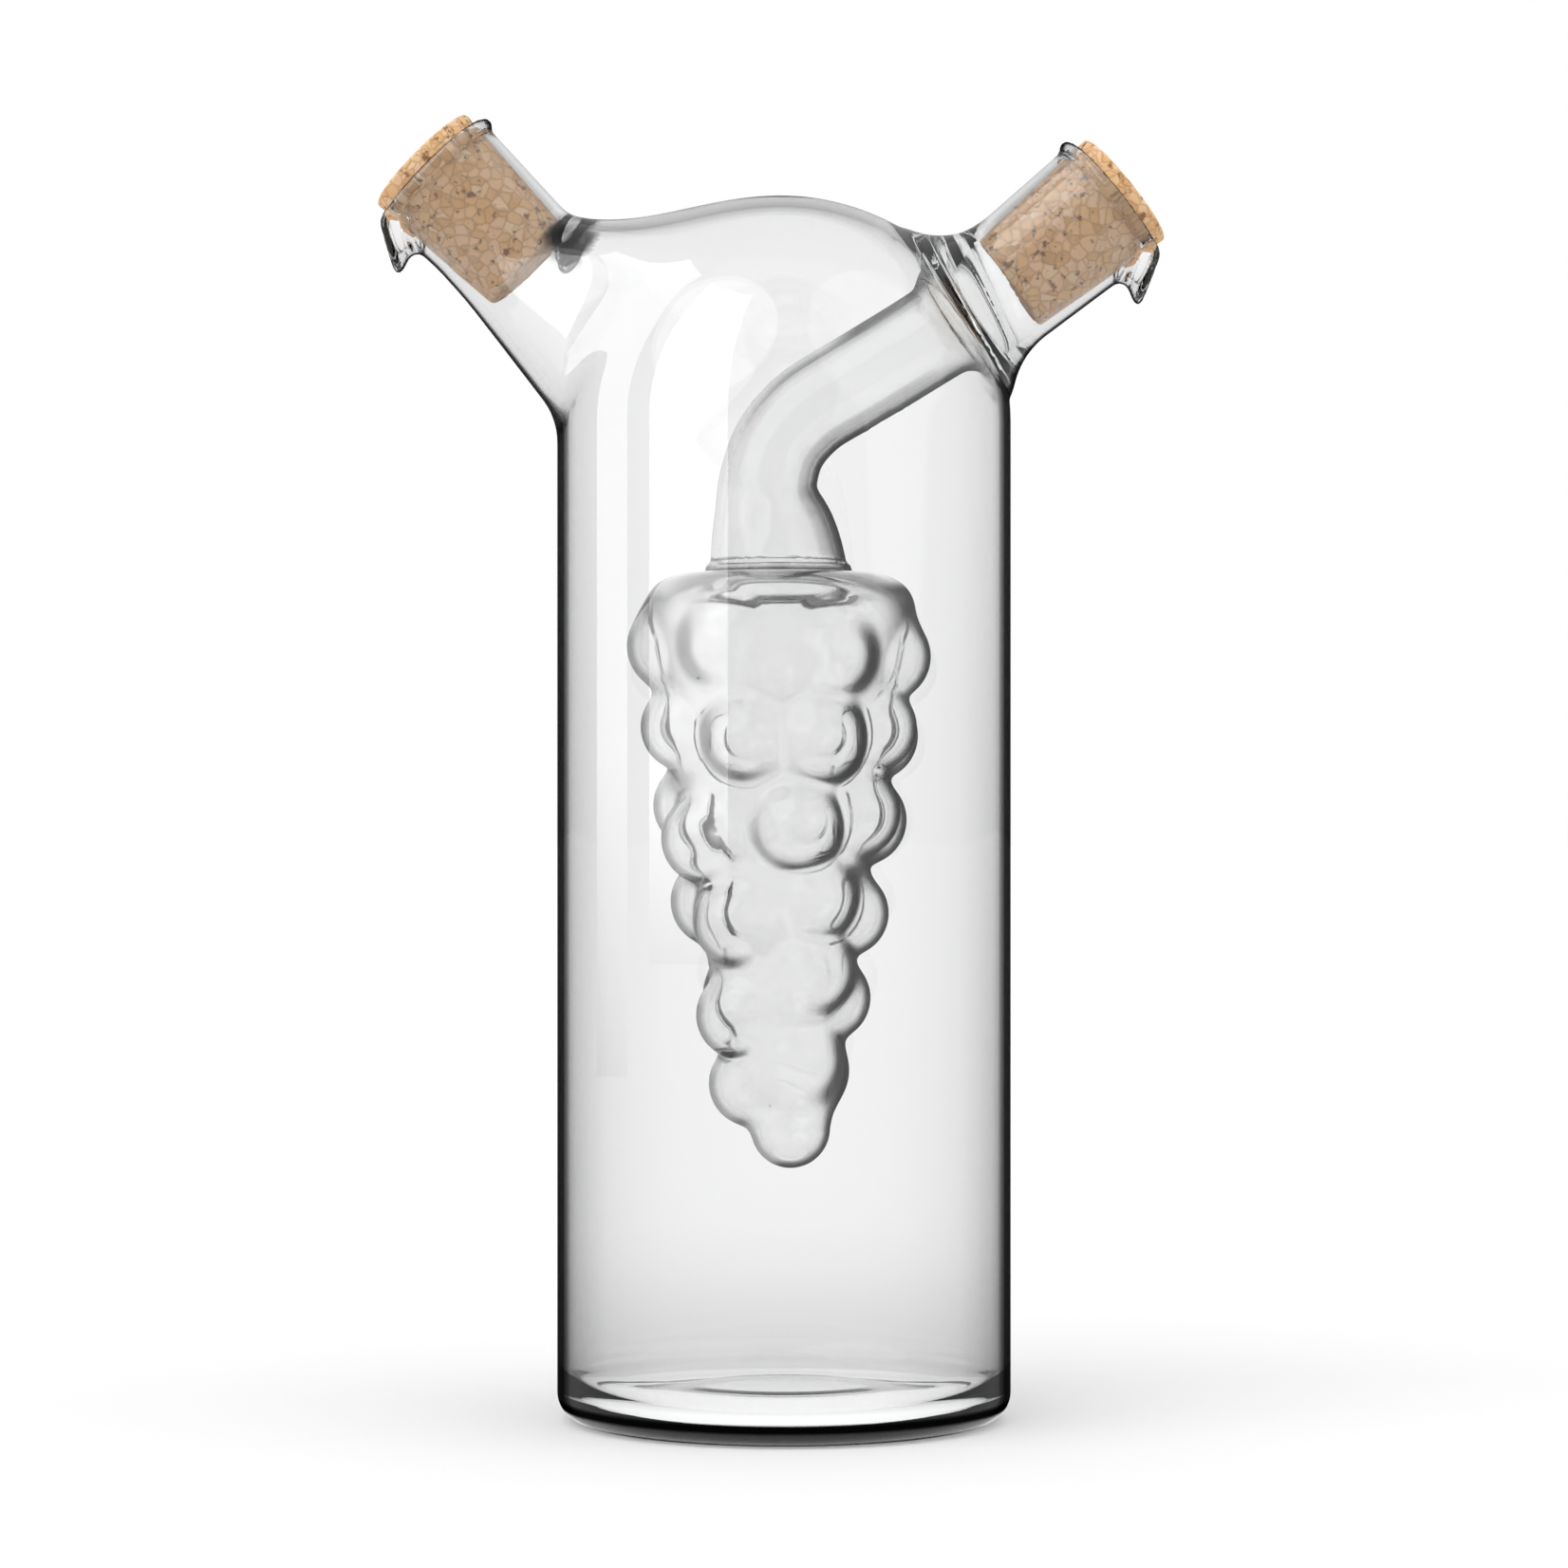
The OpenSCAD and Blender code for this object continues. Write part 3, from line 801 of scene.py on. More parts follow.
@dataclass
class CruetGlass:
    """All the glass as one fused solid.

    Args:
        oil: the oil spout.
        vinegar: the vinegar spout.
        seal_above: fillet of the ring seal outside, above the vinegar spout.
        seal_below: the same fillet below the spout.
        seal_inside: fillet of the ring seal inside the bottle.
        seal_turn: offset across the spout where one fillet outside turns into the other.
        outside_from: distance from the middle of the bottle's wall where outside starts and is full.
        on_bottle: the same for what counts as the bottle's outside.
        on_vessel: distance from the vessel's outside where it counts, and no longer does.
        open_air: distance from the vessel's hollow where the glass is no longer its side.
        edges: how much painted shade each part takes edge-on.
        bottle: the bottle round the oil spout.
        vessel: the inner vessel below the vinegar spout.
    """

    oil: SpoutGlass = field(
        default_factory=lambda: SpoutGlass(SlantedLine((-6.647, 133.353), 45.0, Side.OIL), 41.09, 60.8)
    )
    vinegar: SpoutGlass = field(
        default_factory=lambda: SpoutGlass(SlantedLine((2.643, 136.736), 39.0, Side.VINEGAR), 36.73, 56.6)
    )
    seal_above: float = 9.5
    seal_below: float = 7.0
    seal_inside: float = 2.4
    seal_turn: Point = (-6.0, 6.0)
    outside_from: Point = (-0.3, 1.2)
    on_bottle: Point = (-0.4, 0.4)
    on_vessel: Point = (0.5, 1.2)
    open_air: Point = (0.2, 0.6)
    edges: PaintedEdgeShade = PaintedEdgeShade()
    bottle: BottleGlass = field(init=False)
    vessel: VesselGlass = field(init=False)

    def __post_init__(self) -> None:
        """Makes the bottle and the vessel round their spouts."""
        self.bottle = BottleGlass(self.oil)
        self.vessel = VesselGlass(self.vinegar)

    def distance(self, x: Array, y: Array, z: Array) -> Array:
        """Measures from the glass.

        Args:
            x: places along X.
            y: places along Y.
            z: heights.

        Returns:
            The distance in millimetres, below 0 in the glass itself.
        """
        outer, outer_mid = self.bottle.glass(x, y, z)
        inner, _, hollow = self.vessel.glass(x, y, z)
        outside = ramp(outer_mid, *self.outside_from)
        _, u = self.vinegar.line.local(x, z)
        fillet = self.seal_above + (self.seal_below - self.seal_above) * ramp(u, *self.seal_turn)
        reach = self.seal_inside + (fillet - self.seal_inside) * outside
        return np.maximum(soft_union(outer, inner, reach), -hollow)

    def painted_shading(self, points: Array, normals: Array) -> "PaintedGlassShade":
        """Reads the painted shade of the glass at points of its surface.

        Args:
            points: the points.
            normals: the surface's normals there.

        Returns:
            The painted shading.
        """
        x, y, z = points.T
        up = normals[:, 2]
        _, outer_mid = self.bottle.glass(x, y, z)
        _, vessel_out, hollow = self.vessel.glass(x, y, z)
        open_side = ramp(hollow, *self.open_air)
        bottle = ramp(outer_mid, *self.on_bottle) * open_side
        vessel = (1.0 - ramp(np.abs(vessel_out), *self.on_vessel)) * open_side * (1.0 - bottle)
        # Painted shade where each surface is seen edge-on.
        edge = self.edges.on_bottle(up) * bottle + self.edges.in_hollow(z, normals) * (1.0 - open_side)
        edge = edge + self.edges.on_vessel(x, z, normals, self.vessel.top) * vessel
        # Painted shade on the spouts' rims and lips and on the lump.
        lump, lump_ring = self.edges.lump(*self.oil.line.local(x, z), y)
        for dark in (self.oil.dark_mouth(x, y, z), self.vinegar.dark_mouth(x, y, z), lump):
            edge = edge + (1.0 - edge) * dark
        # Painted shade on the weld ring and on the lump's ring.
        weld = 1.0 - ramp(self.vessel.from_weld(x, y, z, 0.0), *self.edges.weld_width)
        shade = (1.0 - self.edges.weld_dark * weld) * (1.0 - self.edges.lump_dark * lump_ring)
        # Broad painted shade at the bottle's sides, less on the dome.
        soft = self.edges.side_soft * (1.0 - self.edges.soft_pale * ramp(up, *self.edges.soft_turn)) * bottle
        return PaintedGlassShade(bottle, vessel, np.clip(edge, 0.0, 1.0), soft, np.zeros(len(x)), shade)


# Surfaces from the forms


@dataclass
class Surface:
    """A surface with the painted shade that the glass finish reads on it.

    Args:
        points: its points.
        faces: its faces.
        normals: its normals at the points.
        painted_shading: its painted shade at the points.
    """

    points: Array
    faces: List[Face]
    normals: Array
    painted_shading: PaintedGlassShade


class FieldSurface:
    """The surface where a distance field is 0, made on a grid of small blocks."""

    # Grid steps in a block, and how many of its half diagonals count as near the surface
    BLOCK = 6
    REACH = 1.4

    # Points read in one go
    MOST_AT_ONCE = 400000

    # Limits for one step onto the surface
    LEAST_SLOPE = 0.25
    LONGEST_STEP = 0.4

    def __init__(
        self,
        distance: Callable[[Array, Array, Array], Array],
        low: Sequence[float],
        high: Sequence[float],
        pitch: float,
    ) -> None:
        """Lays out the grid.

        Args:
            distance: the field.
            low: lowest corner of the grid.
            high: highest corner.
            pitch: the grid's spacing.
        """
        self.distance = distance
        self.low = np.array(low, dtype=np.float64)
        self.pitch = pitch
        size = np.ceil((np.array(high) - self.low) / pitch / self.BLOCK).astype(int)
        self.blocks = np.maximum(size, 1)

    def _samples(self) -> Array:
        """Reads the field on the grid.

        Returns:
            Its values, exact near the surface and only a sign elsewhere.
        """
        n = self.BLOCK
        centre = [self.low[i] + (np.arange(self.blocks[i]) + 0.5) * n * self.pitch for i in range(3)]
        bx, by, bz = np.meshgrid(*centre, indexing="ij")
        coarse = self.distance(bx.ravel(), by.ravel(), bz.ravel()).reshape(bx.shape)
        near = np.abs(coarse) < n * self.pitch * 0.5 * math.sqrt(3.0) * self.REACH + self.pitch
        values = np.where(coarse < 0.0, -1.0, 1.0)
        values = values.repeat(n, 0).repeat(n, 1).repeat(n, 2).astype(np.float32)
        steps = np.arange(n)
        ox, oy, oz = (o.ravel() for o in np.meshgrid(steps, steps, steps, indexing="ij"))
        where = np.argwhere(near)
        for part in np.array_split(where, max(1, len(where) * n**3 // self.MOST_AT_ONCE)):
            ix = (part[:, 0:1] * n + ox).ravel()
            iy = (part[:, 1:2] * n + oy).ravel()
            iz = (part[:, 2:3] * n + oz).ravel()
            values[ix, iy, iz] = self.distance(
                self.low[0] + ix * self.pitch, self.low[1] + iy * self.pitch, self.low[2] + iz * self.pitch
            )
        return values

    def build(self) -> Tuple[Array, Array]:
        """Makes the surface.

        Returns:
            Its points and its four-sided faces.
        """
        v = self._samples()
        inside = v < 0.0
        corners = [(i, j, k) for i in (0, 1) for j in (0, 1) for k in (0, 1)]
        shape = tuple(s - 1 for s in v.shape)

        def corner(a: Array, c: Face) -> Array:
            """Values at one corner of all cells."""
            return a[c[0] : c[0] + shape[0], c[1] : c[1] + shape[1], c[2] : c[2] + shape[2]]

        count = sum(corner(inside, c).astype(np.int8) for c in corners)
        cells = np.argwhere((count > 0) & (count < 8))
        total = np.zeros((len(cells), 3))
        hits = np.zeros(len(cells))
        for a in corners:
            for axis in range(3):
                if a[axis]:
                    continue
                b = tuple(1 if i == axis else a[i] for i in range(3))
                va = v[cells[:, 0] + a[0], cells[:, 1] + a[1], cells[:, 2] + a[2]].astype(np.float64)
                vb = v[cells[:, 0] + b[0], cells[:, 1] + b[1], cells[:, 2] + b[2]].astype(np.float64)
                cross = (va < 0.0) != (vb < 0.0)
                k = np.where(cross, va / np.where(cross, va - vb, 1.0), 0.0)
                spot = np.array(a, dtype=np.float64) + np.zeros((len(cells), 3))
                spot[:, axis] += k
                total += spot * cross[:, None]
                hits += cross
        points = self.low + (cells + total / hits[:, None]) * self.pitch
        number = np.full(shape, -1, dtype=np.int64)
        number[cells[:, 0], cells[:, 1], cells[:, 2]] = np.arange(len(cells))
        return points, self._faces(inside, number)

    @staticmethod
    def _faces(inside: Array, number: Array) -> Array:
        """Makes a face for each grid edge that crosses the surface.

        Args:
            inside: which grid points lie in the solid.
            number: number of each cell's point, or -1.

        Returns:
            The four-sided faces.
        """
        faces = []
        for axis in range(3):
            one, two = (axis + 1) % 3, (axis + 2) % 3
            start = [slice(1, -1)] * 3
            end = [slice(1, -1)] * 3
            start[axis], end[axis] = slice(0, -1), slice(1, None)
            a, b = inside[tuple(start)], inside[tuple(end)]
            edges = np.argwhere(a != b)
            outward = a[edges[:, 0], edges[:, 1], edges[:, 2]]
            low = edges.copy()
            low[:, one] += 1
            low[:, two] += 1
            quad = []
            for d1, d2 in ((-1, -1), (0, -1), (0, 0), (-1, 0)):
                c = low.copy()
                c[:, one] += d1
                c[:, two] += d2
                quad.append(number[c[:, 0], c[:, 1], c[:, 2]])
            quad = np.stack(quad, axis=1)
            quad[~outward] = quad[~outward][:, ::-1]
            faces.append(quad)
        return np.concatenate(faces)

    def slope(self, p: Array, step: float = 0.02) -> Array:
        """Reads the direction in which the field grows, and how fast.

        Args:
            p: where to read it.
            step: half of the distance over which it is read.

        Returns:
            The slopes along X, Y and Z.
        """
        out = np.zeros_like(p)
        for d in ((1, -1, -1), (-1, -1, 1), (-1, 1, -1), (1, 1, 1)):
            d = np.array(d, dtype=np.float64)
            q = p + d * step
            out += self.distance(q[:, 0], q[:, 1], q[:, 2])[:, None] * d
        return out / (4.0 * step)

    def settle(self, p: Array, rounds: int) -> Array:
        """Moves points onto the surface.

        Args:
            p: the points.
            rounds: number of steps.

        Returns:
            The moved points.
        """
        for _ in range(rounds):
            g = self.slope(p)
            f = self.distance(p[:, 0], p[:, 1], p[:, 2])
            step = f / np.maximum((g * g).sum(1), self.LEAST_SLOPE)
            p = p - np.clip(step, -self.LONGEST_STEP, self.LONGEST_STEP)[:, None] * g
        return p


def relax(points: Array, faces: Array, share: float) -> Array:
    """Moves each point towards the middle of its neighbours.

    Args:
        points: the surface's points.
        faces: its faces, all with the same number of sides.
        share: how far of the way each point moves.

    Returns:
        The moved points.
    """
    a = faces.ravel()
    b = np.roll(faces, -1, axis=1).ravel()
    first, second = np.concatenate([a, b]), np.concatenate([b, a])
    n = np.bincount(first, minlength=len(points))
    mean = np.stack([np.bincount(first, points[second, i], len(points)) for i in range(3)], axis=1)
    return points + (mean / np.maximum(n, 1)[:, None] - points) * share


@dataclass
class TurnedFoot:
    """The straight wall and the foot below the blown top, as a turned outline.

    Args:
        radius: outer radius of the wall.
        wall: its thickness.
        top: height at which the blown top takes over.
        corner: outer radius of the heel.
        hollow_corner: radius of the heel's inside.
        floor: thickness of the floor.
        punt: how far the floor is pushed up.
        punt_start: radius at which the push starts.
        punt_end: radius at which it is full.
        foot_rings: radii of the points on the flat foot ring.
        middle_r: radius of the last ring round the floor's middle.
        floor_rings: number of rings on each side of the floor.
        heel_from: height at which the heel's painted dark line starts.
        heel_to: height at which it ends.
        heel_blur: how soft its edges are.
        heel_fade: how far below the line the wall's own painted shade goes.
        contact: height of the painted dark line where the heel meets the table, full and gone.
        on_heel: painted edge shade of the heel below its line.
        foot_shade: how much painted shade darkens the wall towards the foot.
        foot_dim: heights between which that comes in.
        side_fade: how much of the broad painted shade is gone at the top.
        side_from: height from which that fades.
        segments: number of faces round the wall.
        wall_rows: number of rings on the wall.
        corner_rows: number of rings on the heel.
        hollow_rows: number of rings on the heel's inside.
    """

    radius: float = 32.0
    wall: float = 1.5
    top: float = 131.0
    corner: float = 4.0
    hollow_corner: float = 5.5
    floor: float = 2.6
    punt: float = 2.0
    punt_start: float = 24.0
    punt_end: float = 12.0
    foot_rings: Sequence[float] = (26.5, 25.0)
    middle_r: float = 0.8
    floor_rings: int = 14
    heel_from: float = 2.2
    heel_to: float = 3.1
    heel_blur: float = 0.35
    heel_fade: float = 0.5
    contact: Point = (0.35, 0.75)
    on_heel: float = 0.2
    foot_shade: float = 0.16
    foot_dim: Point = (2.0, 29.0)
    side_fade: float = 0.6
    side_from: float = 10.0
    segments: int = 160
    wall_rows: int = 16
    corner_rows: int = 24
    hollow_rows: int = 14

    def _lift(self, r: float) -> float:
        """How far the floor is pushed up at a radius."""
        return self.punt * float(ramp(np.array(-r), -self.punt_start, -self.punt_end))

    def outline(self) -> Tuple[List[Point], List[Point]]:
        """Draws the outline as radii and heights.

        Returns:
            The outside from the top to the middle of the foot, and the inside back up.
        """
        share = np.linspace(1.0, 0.0, self.wall_rows) ** 2
        outside = [(self.radius, z) for z in self.corner + (self.top - self.corner) * share]
        inner = self.radius - self.corner
        for step in range(1, self.corner_rows + 1):
            a = math.radians(90.0 * step / self.corner_rows)
            outside.append((inner + self.corner * math.cos(a), self.corner - self.corner * math.sin(a)))
        rings = (*self.foot_rings, *np.linspace(self.punt_start, self.middle_r, self.floor_rings))
        outside += [(r, self._lift(r)) for r in rings]
        inside_r = self.radius - self.wall
        centre_r, centre_z = inside_r - self.hollow_corner, self.floor + self.hollow_corner
        rings = np.linspace(self.middle_r, centre_r - 0.4, self.floor_rings + 1)
        inside = [(r, self.floor + self._lift(r)) for r in rings]
        for step in range(self.hollow_rows + 1):
            a = math.radians(90.0 * step / self.hollow_rows)
            out, down = self.hollow_corner * math.sin(a), self.hollow_corner * math.cos(a)
            inside.append((centre_r + out, centre_z - down))
        inside += [(inside_r, z) for z in centre_z + (self.top - centre_z) * share[-2::-1]]
        return outside, inside

    def surface(self) -> Tuple[Surface, Array, Array]:
        """Makes the turned surface.

        Returns:
            The surface, and the numbers of the points along its outer and inner top edge.
        """
        points: List[Array] = []
        normals: List[Array] = []
        faces: List[Face] = []
        n = self.segments
        turn = 2.0 * math.pi * np.arange(n) / n
        rings: List[Array] = []
        for outline in self.outline():
            o = np.array(outline)
            tangent = np.gradient(o, axis=0)
            first = len(rings)
            for (r, z), (dr, dz) in zip(o, tangent):
                size = math.hypot(dr, dz)
                start = n * len(rings)
                rings.append(np.arange(start, start + n))
                points.append(np.stack([r * np.cos(turn), r * np.sin(turn), np.full(n, z)], axis=1))
                nr, nz = -dz / size, dr / size
                normals.append(np.stack([nr * np.cos(turn), nr * np.sin(turn), np.full(n, nz)], axis=1))
            for a, b in zip(rings[first:-1], rings[first + 1 :]):
                for i in range(n):
                    j = (i + 1) % n
                    faces.append((a[i], b[i], b[j], a[j]))
        outer_rings = len(self.outline()[0])
        all_points = np.concatenate(points)
        all_normals = np.concatenate(normals)
        last = len(all_points)
        below, above = rings[outer_rings - 1], rings[outer_rings]
        extra = np.array([[0.0, 0.0, self._lift(0.0)], [0.0, 0.0, self.floor + self._lift(0.0)]])
        all_points = np.concatenate([all_points, extra])
        all_normals = np.concatenate([all_normals, [[0.0, 0.0, -1.0], [0.0, 0.0, 1.0]]])
        for i in range(n):
            j = (i + 1) % n
            faces.append((below[j], below[i], last))
            faces.append((above[i], above[j], last + 1))
        painted_shading = self._painted_shading(all_points, np.arange(len(all_points)) < n * outer_rings)
        return Surface(all_points, faces, all_normals, painted_shading), rings[0], rings[-1]

    def _painted_shading(self, points: Array, outer: Array) -> PaintedGlassShade:
        """Reads the painted shading: painted shade towards the foot, with a painted dark line round the
        heel.

        Args:
            points: the points.
            outer: which of them lie outside.

        Returns:
            The painted shading.
        """
        z, around = points[:, 2], np.hypot(points[:, 0], points[:, 1])
        on_side = ramp(around, self.radius - self.corner, self.radius - self.corner + 1.0)
        above_heel = ramp(z, self.heel_from - self.heel_fade, self.heel_from)
        # Painted shade towards the foot.
        low = (1.0 - ramp(z, *self.foot_dim)) * above_heel * on_side * outer
        # Painted dark line round the heel.
        heel = ramp(z, self.heel_from - self.heel_blur, self.heel_from)
        heel = heel * (1.0 - ramp(z, self.heel_to, self.heel_to + self.heel_blur)) * on_side * outer
        # Painted edge shade on the heel, and a painted dark line where it meets the table.
        dark = np.maximum(above_heel, (1.0 - ramp(z, *self.contact)) * on_side)
        edge = np.where(outer, self.on_heel * on_side + (1.0 - self.on_heel) * dark, 0.0)
        # Broad painted shade at the sides, fading towards the top.
        height = np.clip((z - self.side_from) / (self.top - self.side_from), 0.0, 1.0)
        soft = (1.0 - self.side_fade * height) * above_heel * outer
        return PaintedGlassShade(outer.astype(float), np.zeros(len(z)), edge, soft, heel, 1.0 - self.foot_shade * low)


def open_rings(faces: Sequence[Face]) -> Array:
    """Finds the open edges of a surface.

    Args:
        faces: its faces.

    Returns:
        Numbers of the points that lie on an open edge.
    """
    a = np.concatenate([np.array(f, dtype=np.int64) for f in faces])
    b = np.concatenate([np.roll(np.array(f, dtype=np.int64), -1) for f in faces])
    low, high = np.minimum(a, b), np.maximum(a, b)
    key = low * (high.max() + 1) + high
    _, index, count = np.unique(key, return_index=True, return_counts=True)
    single = index[count == 1]
    return np.unique(np.concatenate([a[single], b[single]]))


def zip_rings(points: Array, upper: Array, lower: Array, outward: bool) -> List[Face]:
    """Joins two rings about the bottle's axis that have different numbers of points.

    Args:
        points: all the points.
        upper: numbers of the upper ring's points.
        lower: numbers of the lower ring's points.
        outward: whether the faces look away from the axis.

    Returns:
        The three-sided faces between them.
    """

    def order(ring: Array) -> Tuple[Array, Array]:
        """Puts a ring's points in order of their turn.

        Args:
            ring: numbers of the points.

        Returns:
            The numbers in order, and the turns.
        """
        a = np.mod(np.arctan2(points[ring, 1], points[ring, 0]), 2.0 * math.pi)
        rank = np.argsort(a)
        return ring[rank], a[rank]

    up, up_a = order(upper)
    down, down_a = order(lower)
    faces = []
    i = j = 0
    while i < len(up) or j < len(down):
        next_up = up_a[(i + 1) % len(up)] + (2.0 * math.pi if i + 1 >= len(up) else 0.0)
        next_down = down_a[(j + 1) % len(down)] + (2.0 * math.pi if j + 1 >= len(down) else 0.0)
        a, b = up[i % len(up)], down[j % len(down)]
        if j >= len(down) or (i < len(up) and next_up <= next_down):
            face = (a, b, up[(i + 1) % len(up)])
            i += 1
        else:
            face = (a, b, down[(j + 1) % len(down)])
            j += 1
        faces.append(face if outward else face[::-1])
    return faces


# Node helpers


class Nodes:
    """Short ways to add and join shader nodes."""

    def __init__(self, tree: bpy.types.NodeTree) -> None:
        """Takes the node tree to fill."""
        self.tree = tree

    def add(
        self, kind: str, settings: Optional[Dict[str, object]] = None, **values: Value
    ) -> bpy.types.Node:
        """Adds a node.

        Args:
            kind: the node's type.
            settings: its own settings, by name.
            values: numbers or links for its sockets, by name with spaces as underscores, or by
                number as n0, n1 and so on.

        Returns:
            The node.
        """
        node = self.tree.nodes.new(kind)
        for name, value in (settings or {}).items():
            setattr(node, name, value)
        for name, value in values.items():
            key = int(name[1:]) if name[0] == "n" and name[1:].isdigit() else name.replace("_", " ")
            socket = node.inputs[key]
            if isinstance(value, bpy.types.NodeSocket):
                self.tree.links.new(value, socket)
            else:
                socket.default_value = value
        return node

    def math(self, kind: str, a: Value, b: Value = 0.0, clamp: bool = False) -> Socket:
        """Adds a math node.

        Args:
            kind: what it does.
            a: its first value.
            b: its second value.
            clamp: whether the result stays between 0 and 1.

        Returns:
            Its result.
        """
        node = self.add("ShaderNodeMath", {"operation": kind, "use_clamp": clamp}, n0=a, n1=b)
        return node.outputs[0]

    def steps(self, value: Value, stops: Sequence[Tuple[float, Colour]]) -> Socket:
        """Adds a colour ramp.

        Args:
            value: what it reads.
            stops: places and their colours.

        Returns:
            Its colour.
        """
        node = self.add("ShaderNodeValToRGB", None, Fac=value)
        ramp_stops = node.color_ramp.elements
        while len(ramp_stops) < len(stops):
            ramp_stops.new(0.5)
        for element, (place, colour) in zip(ramp_stops, stops):
            element.position = place
            element.color = colour
        return node.outputs["Color"]

    def mix(self, share: Value, a: Value, b: Value, kind: str = "MIX") -> Socket:
        """Adds a colour mix.

        Args:
            share: how much of the second colour there is.
            a: the first colour.
            b: the second colour.
            kind: how the two are mixed.

        Returns:
            Its result.
        """
        node = self.add("ShaderNodeMix", {"data_type": "RGBA", "blend_type": kind}, n0=share)
        for socket, value in ((node.inputs[6], a), (node.inputs[7], b)):
            if isinstance(value, bpy.types.NodeSocket):
                self.tree.links.new(value, socket)
            else:
                socket.default_value = value
        return node.outputs[2]


def new_material(name: str) -> Tuple[bpy.types.Material, Nodes, bpy.types.Node]:
    """Makes an empty node material.

    Args:
        name: its name.

    Returns:
        The material, its node helper and its output node.
    """
    material = bpy.data.materials.new(name)
    material.use_nodes = True
    material.node_tree.nodes.clear()
    nodes = Nodes(material.node_tree)
    return material, nodes, nodes.add("ShaderNodeOutputMaterial")


# Finishes


@dataclass(frozen=True)
class ClearGlass:
    """Clear blown glass, with painted shade where the wall is seen edge-on.

    Args:
        ior: how strongly it bends light.
        depth_colour: tint of thick glass.
        density: how fast the tint builds up.
        bottle_edge: painted shade of the bottle's outside against how far it faces away.
        bottle_soft: the broader painted shade at its sides.
        heel_level: painted shade of the heel against how far from level it is looked through.
        vessel_edge: painted shade of the inner vessel's outside.
        hollow_edge: painted shade of the hollows' sides.
        clear: tone of the glass where nothing else darkens it.
    """

    ior: float = 1.47
    depth_colour: Colour = (0.80, 0.88, 0.85, 1.0)
    density: float = 16.0
    bottle_edge: Sequence[Point] = (
        (0.0, 1.0),
        (0.61, 0.99),
        (0.67, 0.86),
        (0.71, 0.30),
        (0.77, 0.045),
        (1.0, 0.03),
    )
    bottle_soft: Sequence[Point] = (
        (0.0, 1.0),
        (0.07, 0.99),
        (0.15, 0.97),
        (0.28, 0.92),
        (0.375, 0.86),
        (0.50, 0.69),
        (0.58, 0.58),
        (0.68, 0.40),
        (1.0, 0.35),
    )
    heel_level: Sequence[Point] = ((0.0, 1.0), (0.70, 1.0), (0.84, 0.05), (1.0, 0.02))
    vessel_edge: Sequence[Point] = (
        (0.0, 1.0),
        (0.26, 0.98),
        (0.37, 0.83),
        (0.48, 0.38),
        (0.57, 0.10),
        (0.70, 0.04),
        (1.0, 0.03),
    )
    hollow_edge: Sequence[Point] = (
        (0.0, 1.0),
        (0.28, 0.98),
        (0.37, 0.62),
        (0.60, 0.50),
        (0.80, 0.30),
        (1.0, 0.10),
    )
    clear: float = 0.974

    @staticmethod
    def _tone(n: Nodes, facing: Socket, stops: Sequence[Point]) -> Socket:
        """Adds a ramp from facing to tone.

        Args:
            n: the node helper.
            facing: how far the surface faces away.
            stops: places on the ramp and their tones.

        Returns:
            The tone.
        """
        return n.steps(facing, [(place, (tone, tone, tone, 1.0)) for place, tone in stops])

    def material(self) -> bpy.types.Material:
        """Makes the material.

        Returns:
            The material.
        """
        # Glass whose colour carries painted shade: edge-on, at the sides, on the heel, the weld ring, the
        # lump and towards the foot.
        material, n, out = new_material("clear_glass_painted_shade")
        facing = n.add("ShaderNodeLayerWeight", None, Blend=0.5).outputs["Facing"]
        # Painted dark line on the heel, by how near level it is looked through.
        upright = n.add("ShaderNodeCombineXYZ", None, Z=1.0).outputs[0]
        level = n.add("ShaderNodeLayerWeight", None, Blend=0.5, Normal=upright).outputs["Facing"]
        read = {
            f.name: n.add("ShaderNodeAttribute", {"attribute_name": "glass_" + f.name}).outputs["Fac"]
            for f in fields(PaintedGlassShade)
        }
        tone = self._tone(n, facing, self.hollow_edge)
        tone = n.mix(read["vessel"], tone, self._tone(n, facing, self.vessel_edge))
        tone = n.mix(read["bottle"], tone, self._tone(n, facing, self.bottle_edge))
        tone = n.mix(read["edge"], WHITE, tone)
        soft = n.mix(read["soft"], WHITE, self._tone(n, facing, self.bottle_soft))
        heel = n.mix(read["heel"], WHITE, self._tone(n, level, self.heel_level))
        tone = n.mix(1.0, n.mix(1.0, tone, soft, "MULTIPLY"), heel, "MULTIPLY")
        # Painted shade on the weld ring, the lump's ring and towards the foot, times the clear tone.
        shade = n.math("MULTIPLY", read["shade"], self.clear)
        shade = n.add("ShaderNodeCombineColor", None, Red=shade, Green=shade, Blue=shade).outputs[0]
        tone = n.mix(1.0, tone, shade, "MULTIPLY")
        glass = n.add("ShaderNodeBsdfGlass", None, Color=tone, Roughness=0.0, IOR=self.ior)
        depth = n.add("ShaderNodeVolumeAbsorption", None, Color=self.depth_colour, Density=self.density)
        n.tree.links.new(glass.outputs[0], out.inputs["Surface"])
        n.tree.links.new(depth.outputs[0], out.inputs["Volume"])
        return material


